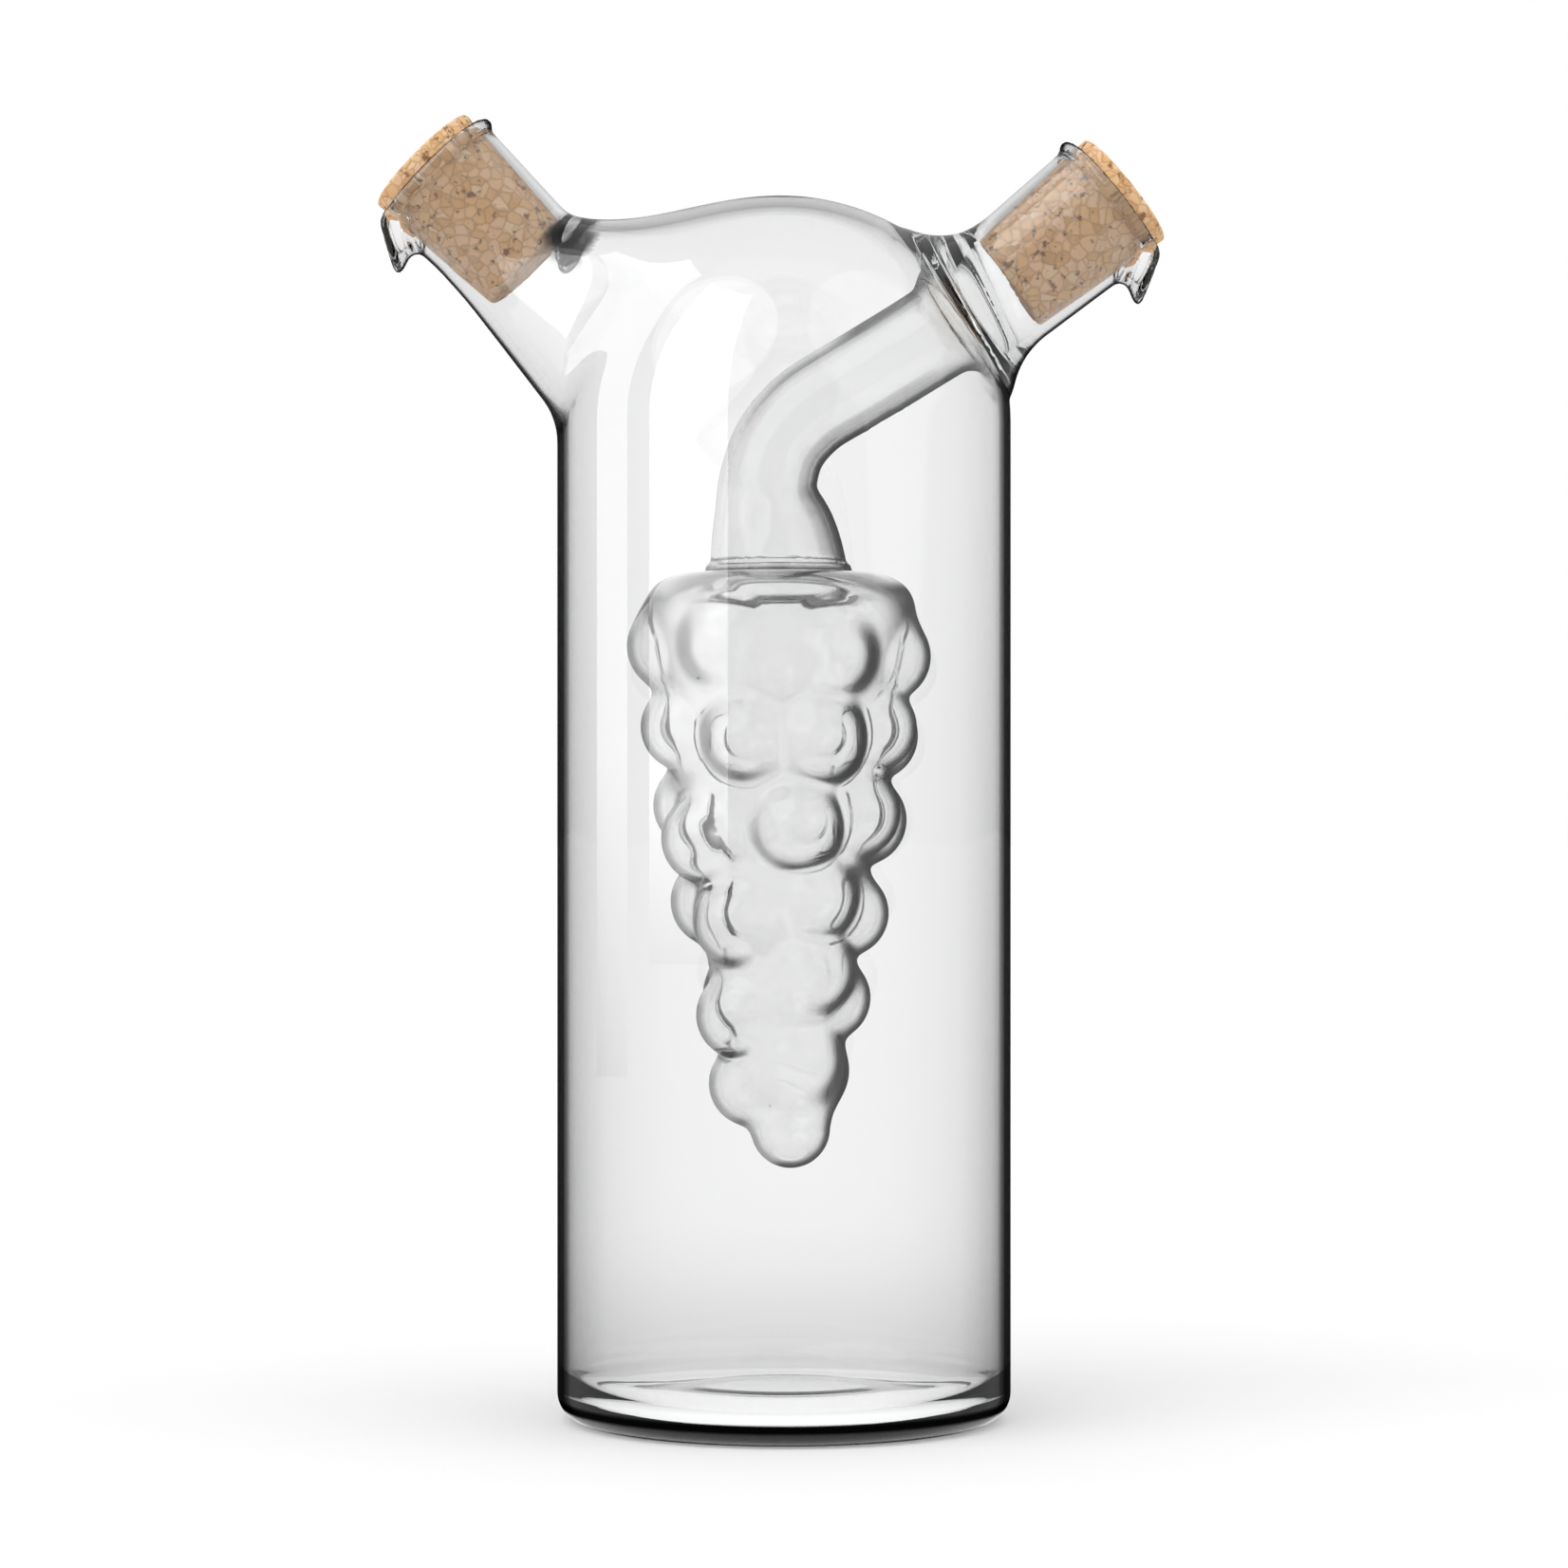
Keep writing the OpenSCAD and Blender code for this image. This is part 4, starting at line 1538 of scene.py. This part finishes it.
@dataclass(frozen=True)
class PressedCork:
    """Pressed cork: grains of several tans with darker gaps and pits.

    Args:
        name: the material's name.
        grain: grains in a metre.
        wander: how finely the grains' edges wander.
        wander_by: how far they wander, in metres.
        cloud: how fine the cloudy differences in tone are.
        grain_share: how much the tone differs from grain to grain.
        cloud_share: how much it differs with the clouds.
        tans: the cork's colours from dark to light.
        gap_tone: colour between the grains.
        gap_sharp: how narrow the gaps are.
        gap_share: how much of their colour shows.
        pit: how fine the pits are.
        pit_from: level of the noise from which there is a pit.
        pit_sharp: how steep its edge is.
        pit_share: how much of its colour shows.
        pit_tone: colour in the pits.
        relief: depth of the pits, in metres.
    """

    name: str = "pressed_cork_finish"
    grain: float = 640.0
    wander: float = 420.0
    wander_by: float = 0.0011
    cloud: float = 260.0
    grain_share: float = 0.65
    cloud_share: float = 0.4
    tans: Sequence[Tuple[float, Colour]] = (
        (0.0, (0.52, 0.26, 0.11, 1.0)),
        (0.25, (0.80, 0.46, 0.21, 1.0)),
        (0.50, (0.90, 0.58, 0.30, 1.0)),
        (0.75, (0.93, 0.60, 0.38, 1.0)),
        (1.0, (0.97, 0.80, 0.50, 1.0)),
    )
    gap_tone: Colour = (0.34, 0.16, 0.08, 1.0)
    gap_sharp: float = 8.0
    gap_share: float = 0.35
    pit: float = 760.0
    pit_from: float = 0.585
    pit_sharp: float = 14.0
    pit_share: float = 0.8
    pit_tone: Colour = (0.20, 0.085, 0.04, 1.0)
    relief: float = 0.0004

    def material(self) -> bpy.types.Material:
        """Makes the material.

        Returns:
            The material.
        """
        material, n, out = new_material(self.name)
        place = n.add("ShaderNodeTexCoord").outputs["Object"]
        wander = n.add("ShaderNodeTexNoise", None, Vector=place, Scale=self.wander, Detail=3.0)
        bend = wander.outputs["Color"]
        bend = n.add("ShaderNodeVectorMath", {"operation": "SCALE"}, n0=bend, Scale=self.wander_by)
        bent = n.add("ShaderNodeVectorMath", {"operation": "ADD"}, n0=place, n1=bend.outputs[0]).outputs[0]
        grain = n.add("ShaderNodeTexVoronoi", None, Vector=bent, Scale=self.grain)
        tone = n.add("ShaderNodeSeparateColor", None, Color=grain.outputs["Color"]).outputs[0]
        cloud = n.add("ShaderNodeTexNoise", None, Vector=place, Scale=self.cloud, Detail=3.0).outputs["Fac"]
        cloud = n.math("MULTIPLY", cloud, self.cloud_share)
        tone = n.math("ADD", n.math("MULTIPLY", tone, self.grain_share), cloud, True)
        base = n.steps(tone, self.tans)
        edge = n.add("ShaderNodeTexVoronoi", {"feature": "DISTANCE_TO_EDGE"}, Vector=bent, Scale=self.grain)
        gap = n.math("MULTIPLY", edge.outputs["Distance"], self.gap_sharp, True)
        gap = n.math("SUBTRACT", 1.0, gap, True)
        base = n.mix(n.math("MULTIPLY", gap, self.gap_share), base, self.gap_tone)
        pits = n.add("ShaderNodeTexNoise", None, Vector=place, Scale=self.pit, Detail=4.0, Roughness=0.6)
        pit = n.math("SUBTRACT", pits.outputs["Fac"], self.pit_from)
        pit = n.math("MULTIPLY", pit, self.pit_sharp, True)
        base = n.mix(n.math("MULTIPLY", pit, self.pit_share), base, self.pit_tone)
        level = n.math("SUBTRACT", n.math("MULTIPLY", gap, -0.5), pit)
        bump = n.add("ShaderNodeBump", None, Strength=0.5, Distance=self.relief, Height=level).outputs[0]
        shader = n.add("ShaderNodeBsdfPrincipled", None, Base_Color=base, Roughness=0.85, Normal=bump)
        n.tree.links.new(shader.outputs[0], out.inputs["Surface"])
        return material


@dataclass(frozen=True)
class PaleFloor:
    """Plain white floor that keeps the object's soft shadow.

    Args:
        colour: its colour.
        glow: what is added where the camera sees it.
        seen_in_glass: how bright it is through glass.
        under_glass: how bright it is through glass, below the foot, as a painted pool of light.
        foot_r: radius of that part, in metres.
        foot_blur: how soft its edge is, in metres.
    """

    colour: Colour = (0.86, 0.86, 0.86, 1.0)
    glow: float = 0.15
    seen_in_glass: float = 1.0
    under_glass: float = 1.36
    foot_r: float = 0.0285
    foot_blur: float = 0.003

    def material(self) -> bpy.types.Material:
        """Makes the material.

        Returns:
            The material.
        """
        material, n, out = new_material("pale_floor_finish")
        path = n.add("ShaderNodeLightPath")
        in_glass = n.math("MAXIMUM", path.outputs["Is Glossy Ray"], path.outputs["Is Transmission Ray"])
        diffuse = n.add("ShaderNodeBsdfDiffuse", None, Color=self.colour)
        camera_glow = n.math("MULTIPLY", path.outputs["Is Camera Ray"], self.glow)
        glow = n.add("ShaderNodeEmission", None, Color=WHITE, Strength=camera_glow)
        both = n.add("ShaderNodeAddShader", None, n0=diffuse.outputs[0], n1=glow.outputs[0])
        # Painted pool of light on the floor below the foot, seen only through glass.
        place = n.add("ShaderNodeTexCoord").outputs["Object"]
        away = n.add("ShaderNodeVectorMath", {"operation": "LENGTH"}, n0=place).outputs["Value"]
        gather = n.math("SUBTRACT", self.foot_r + self.foot_blur, away)
        gather = n.math("MULTIPLY", gather, 1.0 / self.foot_blur, True)
        level = n.math("MULTIPLY", gather, self.under_glass - self.seen_in_glass)
        level = n.math("ADD", level, self.seen_in_glass)
        white = n.add("ShaderNodeEmission", None, Color=WHITE, Strength=level)
        shown = n.add("ShaderNodeMixShader", None, n0=in_glass, n1=both.outputs[0], n2=white.outputs[0])
        n.tree.links.new(shown.outputs[0], out.inputs["Surface"])
        return material


# Pieces


def add_object(name: str, mesh: bpy.types.Mesh, material: bpy.types.Material) -> bpy.types.Object:
    """Puts a mesh into the scene.

    Args:
        name: the object's name.
        mesh: its mesh.
        material: its finish.

    Returns:
        The object.
    """
    piece = bpy.data.objects.new(name, mesh)
    bpy.context.scene.collection.objects.link(piece)
    mesh.materials.append(material)
    return piece


def make_mesh(name: str, points: Array, faces: Sequence[Face]) -> bpy.types.Mesh:
    """Makes a smooth-shaded mesh.

    Args:
        name: its name.
        points: its points.
        faces: its faces.

    Returns:
        The mesh.
    """
    mesh = bpy.data.meshes.new(name)
    mesh.from_pydata(points.tolist(), [], [tuple(int(i) for i in f) for f in faces])
    mesh.polygons.foreach_set("use_smooth", np.ones(len(mesh.polygons), dtype=bool))
    return mesh


@dataclass
class GlassPiece:
    """The fused glass of the bottle, the vessel and both spouts.

    Args:
        form: the blown glass as a form.
        foot: the straight wall and the foot.
        low: lowest corner of the blown top's grid.
        high: its highest corner.
        pitch: its spacing.
        top_starts: height from which all of the blown top is kept.
        inside_r: radius within which it is kept below that height too.
        most_faces: number of triangles that it is thinned out to.
        mouth_r: radius round the stem's mouth that keeps its fine faces.
        mouth_reach: how far above and below the mouth that goes.
        grid_even: how far the grid's points move towards their neighbours.
        thin_even: how far the points move that are left.
    """

    form: CruetGlass = field(default_factory=CruetGlass)
    foot: TurnedFoot = field(default_factory=TurnedFoot)
    low: Tuple[float, float, float] = (-58.5, -34.0, 33.5)
    high: Tuple[float, float, float] = (56.5, 34.0, 184.5)
    pitch: float = 0.66
    top_starts: float = 132.0
    inside_r: float = 27.0
    most_faces: int = 160000
    mouth_r: float = 14.0
    mouth_reach: float = 4.0
    grid_even: float = 0.5
    thin_even: float = 0.3

    def _thinned(self, points: Array, faces: Array) -> Tuple[Array, Array]:
        """Thins a surface out, but not round the stem's mouth.

        Args:
            points: its points.
            faces: its four-sided faces.

        Returns:
            The points and triangles that are left.
        """
        mesh = make_mesh("blown_top", points, faces)
        piece = bpy.data.objects.new("blown_top", mesh)
        bpy.context.scene.collection.objects.link(piece)
        thin = piece.modifiers.new("thin", "DECIMATE")
        thin.ratio = min(1.0, self.most_faces / (2.0 * len(faces)))
        fine = np.hypot(points[:, 0] - self.form.vessel.middle_x, points[:, 1]) < self.mouth_r
        fine = fine & (np.abs(points[:, 2] - self.form.vessel.top) < self.mouth_reach)
        group = piece.vertex_groups.new(name="stem_mouth")
        group.add(np.nonzero(fine)[0].tolist(), 1.0, "REPLACE")
        thin.vertex_group = group.name
        thin.invert_vertex_group = True
        ready = piece.evaluated_get(bpy.context.evaluated_depsgraph_get()).to_mesh()
        left = np.zeros(len(ready.vertices) * 3)
        ready.vertices.foreach_get("co", left)
        ready.calc_loop_triangles()
        triangles = np.array([t.vertices[:] for t in ready.loop_triangles])
        bpy.data.objects.remove(piece)
        bpy.data.meshes.remove(mesh)
        return left.reshape(-1, 3), triangles

    def _blown_top(self) -> Surface:
        """Makes the blown top and the inner vessel, thinned out and settled on the form.

        Returns:
            The surface.
        """
        field_surface = FieldSurface(self.form.distance, self.low, self.high, self.pitch)
        points, faces = field_surface.build()
        LOG.info("glass: %d points on the grid", len(points))
        for _ in range(2):
            points = relax(points, faces, self.grid_even)
            points = field_surface.settle(points, 1)
        lower = (points[:, 2] < self.top_starts) & (np.hypot(points[:, 0], points[:, 1]) > self.inside_r)
        faces = faces[~lower[faces].any(axis=1)]
        used, back = np.unique(faces, return_inverse=True)
        points, faces = points[used], back.reshape(faces.shape)
        points, triangles = self._thinned(points, faces)
        rim = open_rings(triangles)
        kept = points[rim]
        points = relax(field_surface.settle(points, 1), triangles, self.thin_even)
        points[rim] = kept
        points = field_surface.settle(points, 3)
        faces = [tuple(t) for t in triangles]
        normals = field_surface.slope(points)
        normals /= np.maximum(np.linalg.norm(normals, axis=1), 1e-6)[:, None]
        LOG.info("glass: blown top of %d faces", len(faces))
        return Surface(points, faces, normals, self.form.painted_shading(points, normals))

    def build(self, finish: bpy.types.Material) -> bpy.types.Object:
        """Makes the piece.

        Args:
            finish: the glass material.

        Returns:
            The object.
        """
        top = self._blown_top()
        foot, outer_ring, inner_ring = self.foot.surface()
        shift = len(top.points)
        points = np.concatenate([top.points, foot.points])
        normals = np.concatenate([top.normals, foot.normals])
        faces = list(top.faces) + [tuple(i + shift for i in f) for f in foot.faces]
        edge = open_rings(top.faces)
        around = np.hypot(points[edge, 0], points[edge, 1])
        middle = self.foot.radius - self.foot.wall / 2
        faces += zip_rings(points, edge[around > middle], outer_ring + shift, True)
        faces += zip_rings(points, edge[around < middle], inner_ring + shift, False)
        mesh = make_mesh("fused_glass", points * MM, faces)
        mesh.normals_split_custom_set_from_vertices(normals.tolist())
        top.painted_shading.joined(foot.painted_shading).write(mesh)
        piece = add_object("fused_glass", mesh, finish)
        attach(piece, Body.BOTTLE.value)
        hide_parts("outer_bottle", "inner_vessel")
        LOG.info("fused_glass: %d faces", len(faces))
        return piece


@dataclass
class CorkPiece:
    """A tapered cork of pressed grains, pushed into a spout.

    Args:
        name: the piece's name.
        node: the CAD node that it stands for.
        body: the body that it rides on.
        spout: the spout that it closes.
        inner_r: radius of the end in the glass.
        outer_r: radius of the end outside.
        length: its length.
        lift: how far it sits above the end of the spout's seat.
        chamfer: how far its edges are rounded.
        middle_r: radius of the first ring on each end.
        segments: number of faces round it.
        rows: number of rings along its side.
        end_rows: number of rings on each end.
        edge_rows: number of rings on each edge.
        edge_turn: where the rings on an edge start and end, in radians.
        dent_count: number of dents.
        dent_size: smallest and largest width of a dent.
        dent_depth: smallest and largest depth of a dent.
        deepest: how deep dents get where they meet.
        seed: picks the dents.
    """

    name: str
    node: str
    body: Body
    spout: SpoutGlass
    inner_r: float = 7.38
    outer_r: float = 8.95
    length: float = 21.85
    lift: float = 0.1
    chamfer: float = 0.55
    middle_r: float = 0.05
    segments: int = 144
    rows: int = 72
    end_rows: int = 14
    edge_rows: int = 5
    edge_turn: Point = (0.3, 1.5)
    dent_count: int = 260
    dent_size: Point = (0.35, 1.0)
    dent_depth: Point = (0.04, 0.22)
    deepest: float = 0.3
    seed: int = 3

    def _outline(self) -> Array:
        """Draws the outline, from the inner face's middle to the outer one's.

        Returns:
            Its radii and heights.
        """
        c, low, high = self.chamfer, self.inner_r, self.outer_r
        slope = (high - low) / self.length
        turns = np.linspace(*self.edge_turn, self.edge_rows)
        pts = [(r, 0.0) for r in np.linspace(self.middle_r, low - c, self.end_rows)]
        pts += [(low - c * (1 - math.sin(a)), c * (1 - math.cos(a))) for a in turns]
        pts += [(low + slope * h, h) for h in np.linspace(c, self.length - c, self.rows)]
        pts += [(high - c * (1 - math.cos(a)), self.length - c + c * math.sin(a)) for a in turns]
        pts += [(r, self.length) for r in np.linspace(high - c, self.middle_r, self.end_rows)]
        return np.array(pts)

    def _dents(self, turn: Array, r: Array, h: Array) -> Array:
        """Presses random dents into the side.

        Args:
            turn: the turn of each point round the axis.
            r: radii of the points.
            h: heights of the points.

        Returns:
            How deep the dents are at the points.
        """
        rng = np.random.default_rng(self.seed)
        dents = np.zeros_like(r)
        for _ in range(self.dent_count):
            spot_h = rng.uniform(0.0, self.length)
            spot_a = rng.uniform(0.0, 2.0 * math.pi)
            size, depth = rng.uniform(*self.dent_size), rng.uniform(*self.dent_depth)
            da = np.angle(np.exp(1j * (turn[None, :] - spot_a))) * np.maximum(r, 1.0)
            dents += depth * np.exp(-((h - spot_h) ** 2 + da**2) / (2 * (size * 0.5) ** 2))
        on_side = (h > 0.01) & (h < self.length - 0.01)
        return np.where(on_side, np.minimum(dents, self.deepest), 0.0)

    def build(self, finish: bpy.types.Material) -> bpy.types.Object:
        """Makes the piece.

        Args:
            finish: the cork material.

        Returns:
            The object.
        """
        outline = self._outline()
        n = self.segments
        turn = 2.0 * math.pi * np.arange(n) / n
        r = outline[:, 0][:, None] + np.zeros(n)
        h = outline[:, 1][:, None] + np.zeros(n)
        r = r - self._dents(turn, r, h)
        x, z = self.spout.line.world(self.spout.cork_from + self.lift + h, r * np.cos(turn))
        y = r * np.sin(turn) + np.zeros_like(x)
        points = np.stack([x, y, z], axis=-1).reshape(-1, 3)
        faces: List[Face] = []
        mirrored = self.spout.line.side is Side.VINEGAR
        for row in range(len(outline) - 1):
            for i in range(n):
                j = (i + 1) % n
                face = (row * n + i, row * n + j, (row + 1) * n + j, (row + 1) * n + i)
                faces.append(face[::-1] if not mirrored else face)
        caps = [tuple(range(n)), tuple((len(outline) - 1) * n + i for i in range(n))]
        faces.append(caps[0][::-1] if mirrored else caps[0])
        faces.append(caps[1] if mirrored else caps[1][::-1])
        mesh = make_mesh(self.name, points * MM, faces)
        piece = add_object(self.name, mesh, finish)
        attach(piece, self.body.value)
        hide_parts(self.node)
        LOG.info("%s: %d faces", self.name, len(faces))
        return piece


# Studio


@dataclass
class SoftSun:
    """A distant soft lamp.

    Args:
        name: its name.
        turn: where it stands round the cruet, in degrees.
        rise: how high it stands, in degrees.
        spread: how wide it looks, in degrees.
        power: how strong it is.
    """

    name: str
    turn: float
    rise: float
    spread: float
    power: float

    def build(self) -> bpy.types.Object:
        """Makes the lamp.

        Returns:
            The object.
        """
        lamp = bpy.data.lights.new(self.name, "SUN")
        lamp.angle = math.radians(self.spread)
        lamp.energy = self.power
        obj = bpy.data.objects.new(self.name, lamp)
        bpy.context.scene.collection.objects.link(obj)
        obj.rotation_euler = (math.radians(90.0 - self.rise), 0.0, math.radians(self.turn))
        return obj


@dataclass
class ShinePanel:
    """A bright panel that only gloss shows, as part of a ring round the cruet.

    Args:
        name: its name.
        from_turn: where it starts round the cruet, in degrees.
        to_turn: where it ends.
        low: its lower edge, in metres.
        high: its upper edge.
        radius: how far away it stands.
        strength: how bright it is.
        fade: how far above its lower edge it is at its full strength.
        columns: number of points along it.
    """

    name: str
    from_turn: float
    to_turn: float
    low: float
    high: float
    radius: float
    strength: float
    fade: float
    columns: int = 25

    def build(self) -> bpy.types.Object:
        """Makes the panel.

        Returns:
            The object.
        """
        turns = np.radians(np.linspace(self.from_turn, self.to_turn, self.columns))
        points: List[Tuple[float, float, float]] = []
        for z in (self.low, self.high):
            points += [(self.radius * math.sin(a), -self.radius * math.cos(a), z) for a in turns]
        n = len(turns)
        faces = [(i, i + 1, n + i + 1, n + i) for i in range(n - 1)]
        material, nodes, out = new_material(self.name + "_finish")
        gloss = nodes.add("ShaderNodeLightPath").outputs["Is Glossy Ray"]
        height = nodes.add("ShaderNodeTexCoord").outputs["Object"]
        height = nodes.add("ShaderNodeSeparateXYZ", None, Vector=height).outputs["Z"]
        fade = nodes.math("MULTIPLY", nodes.math("SUBTRACT", height, self.low), 1.0 / self.fade, True)
        strength = nodes.math("MULTIPLY", fade, self.strength)
        light = nodes.add("ShaderNodeEmission", None, Color=WHITE, Strength=strength).outputs[0]
        clear = nodes.add("ShaderNodeBsdfTransparent").outputs[0]
        only = nodes.add("ShaderNodeMixShader", None, n0=gloss, n1=clear, n2=light)
        nodes.tree.links.new(only.outputs[0], out.inputs["Surface"])
        piece = add_object(self.name, make_mesh(self.name, np.array(points), faces), material)
        piece.visible_camera = False
        piece.visible_diffuse = False
        piece.visible_transmission = False
        piece.visible_shadow = False
        return piece


@dataclass
class Studio:
    """Floor, surrounding light, lamps and the photograph's camera.

    Args:
        eye_height: the camera's height, in metres.
        eye_distance: how far in front of the cruet it stands.
        lens: its focal length, in millimetres.
        film: width of its film, in millimetres.
        floor_size: half of the floor's width, in metres.
        floor_gap: how far below the foot the floor lies.
        sky: tones that glass shows, from level to straight up.
        sky_light: the light on everything that isn't glass.
        sky_gloss: what gloss shows.
        lamps: the lamps.
        panels: the panels.
    """

    eye_height: float = 0.0896
    eye_distance: float = 0.650
    lens: float = 105.6
    film: float = 36.0
    floor_size: float = 6.0
    floor_gap: float = 0.00005
    sky: Sequence[Tuple[float, Colour]] = (
        (0.0, WHITE),
        (0.30, WHITE),
        (0.62, (0.45, 0.45, 0.45, 1.0)),
        (1.0, (0.25, 0.25, 0.25, 1.0)),
    )
    sky_light: Colour = (0.6, 0.6, 0.6, 1.0)
    sky_gloss: Colour = (0.62, 0.62, 0.62, 1.0)
    lamps: Sequence[SoftSun] = (
        SoftSun("left_lamp", -45.0, 40.0, 60.0, 0.9),
        SoftSun("right_lamp", 60.0, 35.0, 70.0, 0.5),
        SoftSun("top_lamp", 0.0, 85.0, 90.0, 0.6),
    )
    panels: Sequence[ShinePanel] = (
        ShinePanel("left_panel", -70.0, -27.4, 0.035, 1.6, 0.8, 4.8, 0.05),
        ShinePanel("far_left_panel", -107.0, -84.0, 0.0, 1.6, 0.8, 3.6, 0.1),
    )

    def floor(self) -> bpy.types.Object:
        """Makes the floor, just under the foot.

        Returns:
            The object.
        """
        size = self.floor_size
        points = np.array([(-size, -size, 0.0), (size, -size, 0.0), (size, size, 0.0), (-size, size, 0.0)])
        mesh = make_mesh("pale_floor", points, [(0, 1, 2, 3)])
        piece = add_object("pale_floor", mesh, PaleFloor().material())
        piece.location.z = -self.floor_gap
        return piece

    def surroundings(self) -> None:
        """Makes all that is round the cruet white, with a soft level light on it."""
        world = bpy.data.worlds.new("studio")
        bpy.context.scene.world = world
        world.use_nodes = True
        world.node_tree.nodes.clear()
        n = Nodes(world.node_tree)
        out = n.add("ShaderNodeOutputWorld")
        path = n.add("ShaderNodeLightPath")
        direction = n.add("ShaderNodeTexCoord").outputs["Generated"]
        up = n.add("ShaderNodeSeparateXYZ", None, Vector=direction).outputs["Z"]
        soft = n.mix(path.outputs["Is Glossy Ray"], self.sky_light, self.sky_gloss)
        soft = n.mix(path.outputs["Is Transmission Ray"], soft, n.steps(up, self.sky))
        colour = n.mix(path.outputs["Is Camera Ray"], soft, WHITE)
        sky = n.add("ShaderNodeBackground", None, Color=colour, Strength=1.0)
        n.tree.links.new(sky.outputs[0], out.inputs["Surface"])

    def camera(self) -> None:
        """Stands the camera where the photograph was taken from."""
        data = bpy.data.cameras.new("photo_view")
        data.lens = self.lens
        data.sensor_width = self.film
        data.clip_start = 0.01
        obj = bpy.data.objects.new("photo_view", data)
        obj.location = (0.0, -self.eye_distance, self.eye_height)
        obj.rotation_euler = (math.radians(90.0), 0.0, 0.0)
        bpy.context.scene.collection.objects.link(obj)
        bpy.context.scene.camera = obj

    def build(self) -> None:
        """Makes the whole studio."""
        self.floor()
        self.surroundings()
        for light in (*self.lamps, *self.panels):
            light.build()
        self.camera()
        bpy.context.scene.view_settings.view_transform = "Standard"
        LOG.info("studio: %d lamps, %d panels", len(self.lamps), len(self.panels))


def corners(bounds: Sequence[Sequence[float]]) -> List[List[float]]:
    """Args:
        bounds: the box's lowest and highest corners.

    Returns:
        The same corners as lists.
    """
    return [[float(v) for v in corner] for corner in bounds]


def main() -> None:
    """Builds all the pieces and the studio."""
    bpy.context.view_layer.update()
    glass = GlassPiece()
    glass.build(ClearGlass().material())
    cork = PressedCork().material()
    corks = (
        CorkPiece("oil_stopper_cork", "oil_cork", Body.OIL_STOPPER, glass.form.oil, seed=3),
        CorkPiece("vinegar_stopper_cork", "vinegar_cork", Body.VINEGAR_STOPPER, glass.form.vinegar, seed=8),
    )
    for piece in corks:
        piece.build(cork)
    Studio().build()


if __name__ == "__main__":
    main()
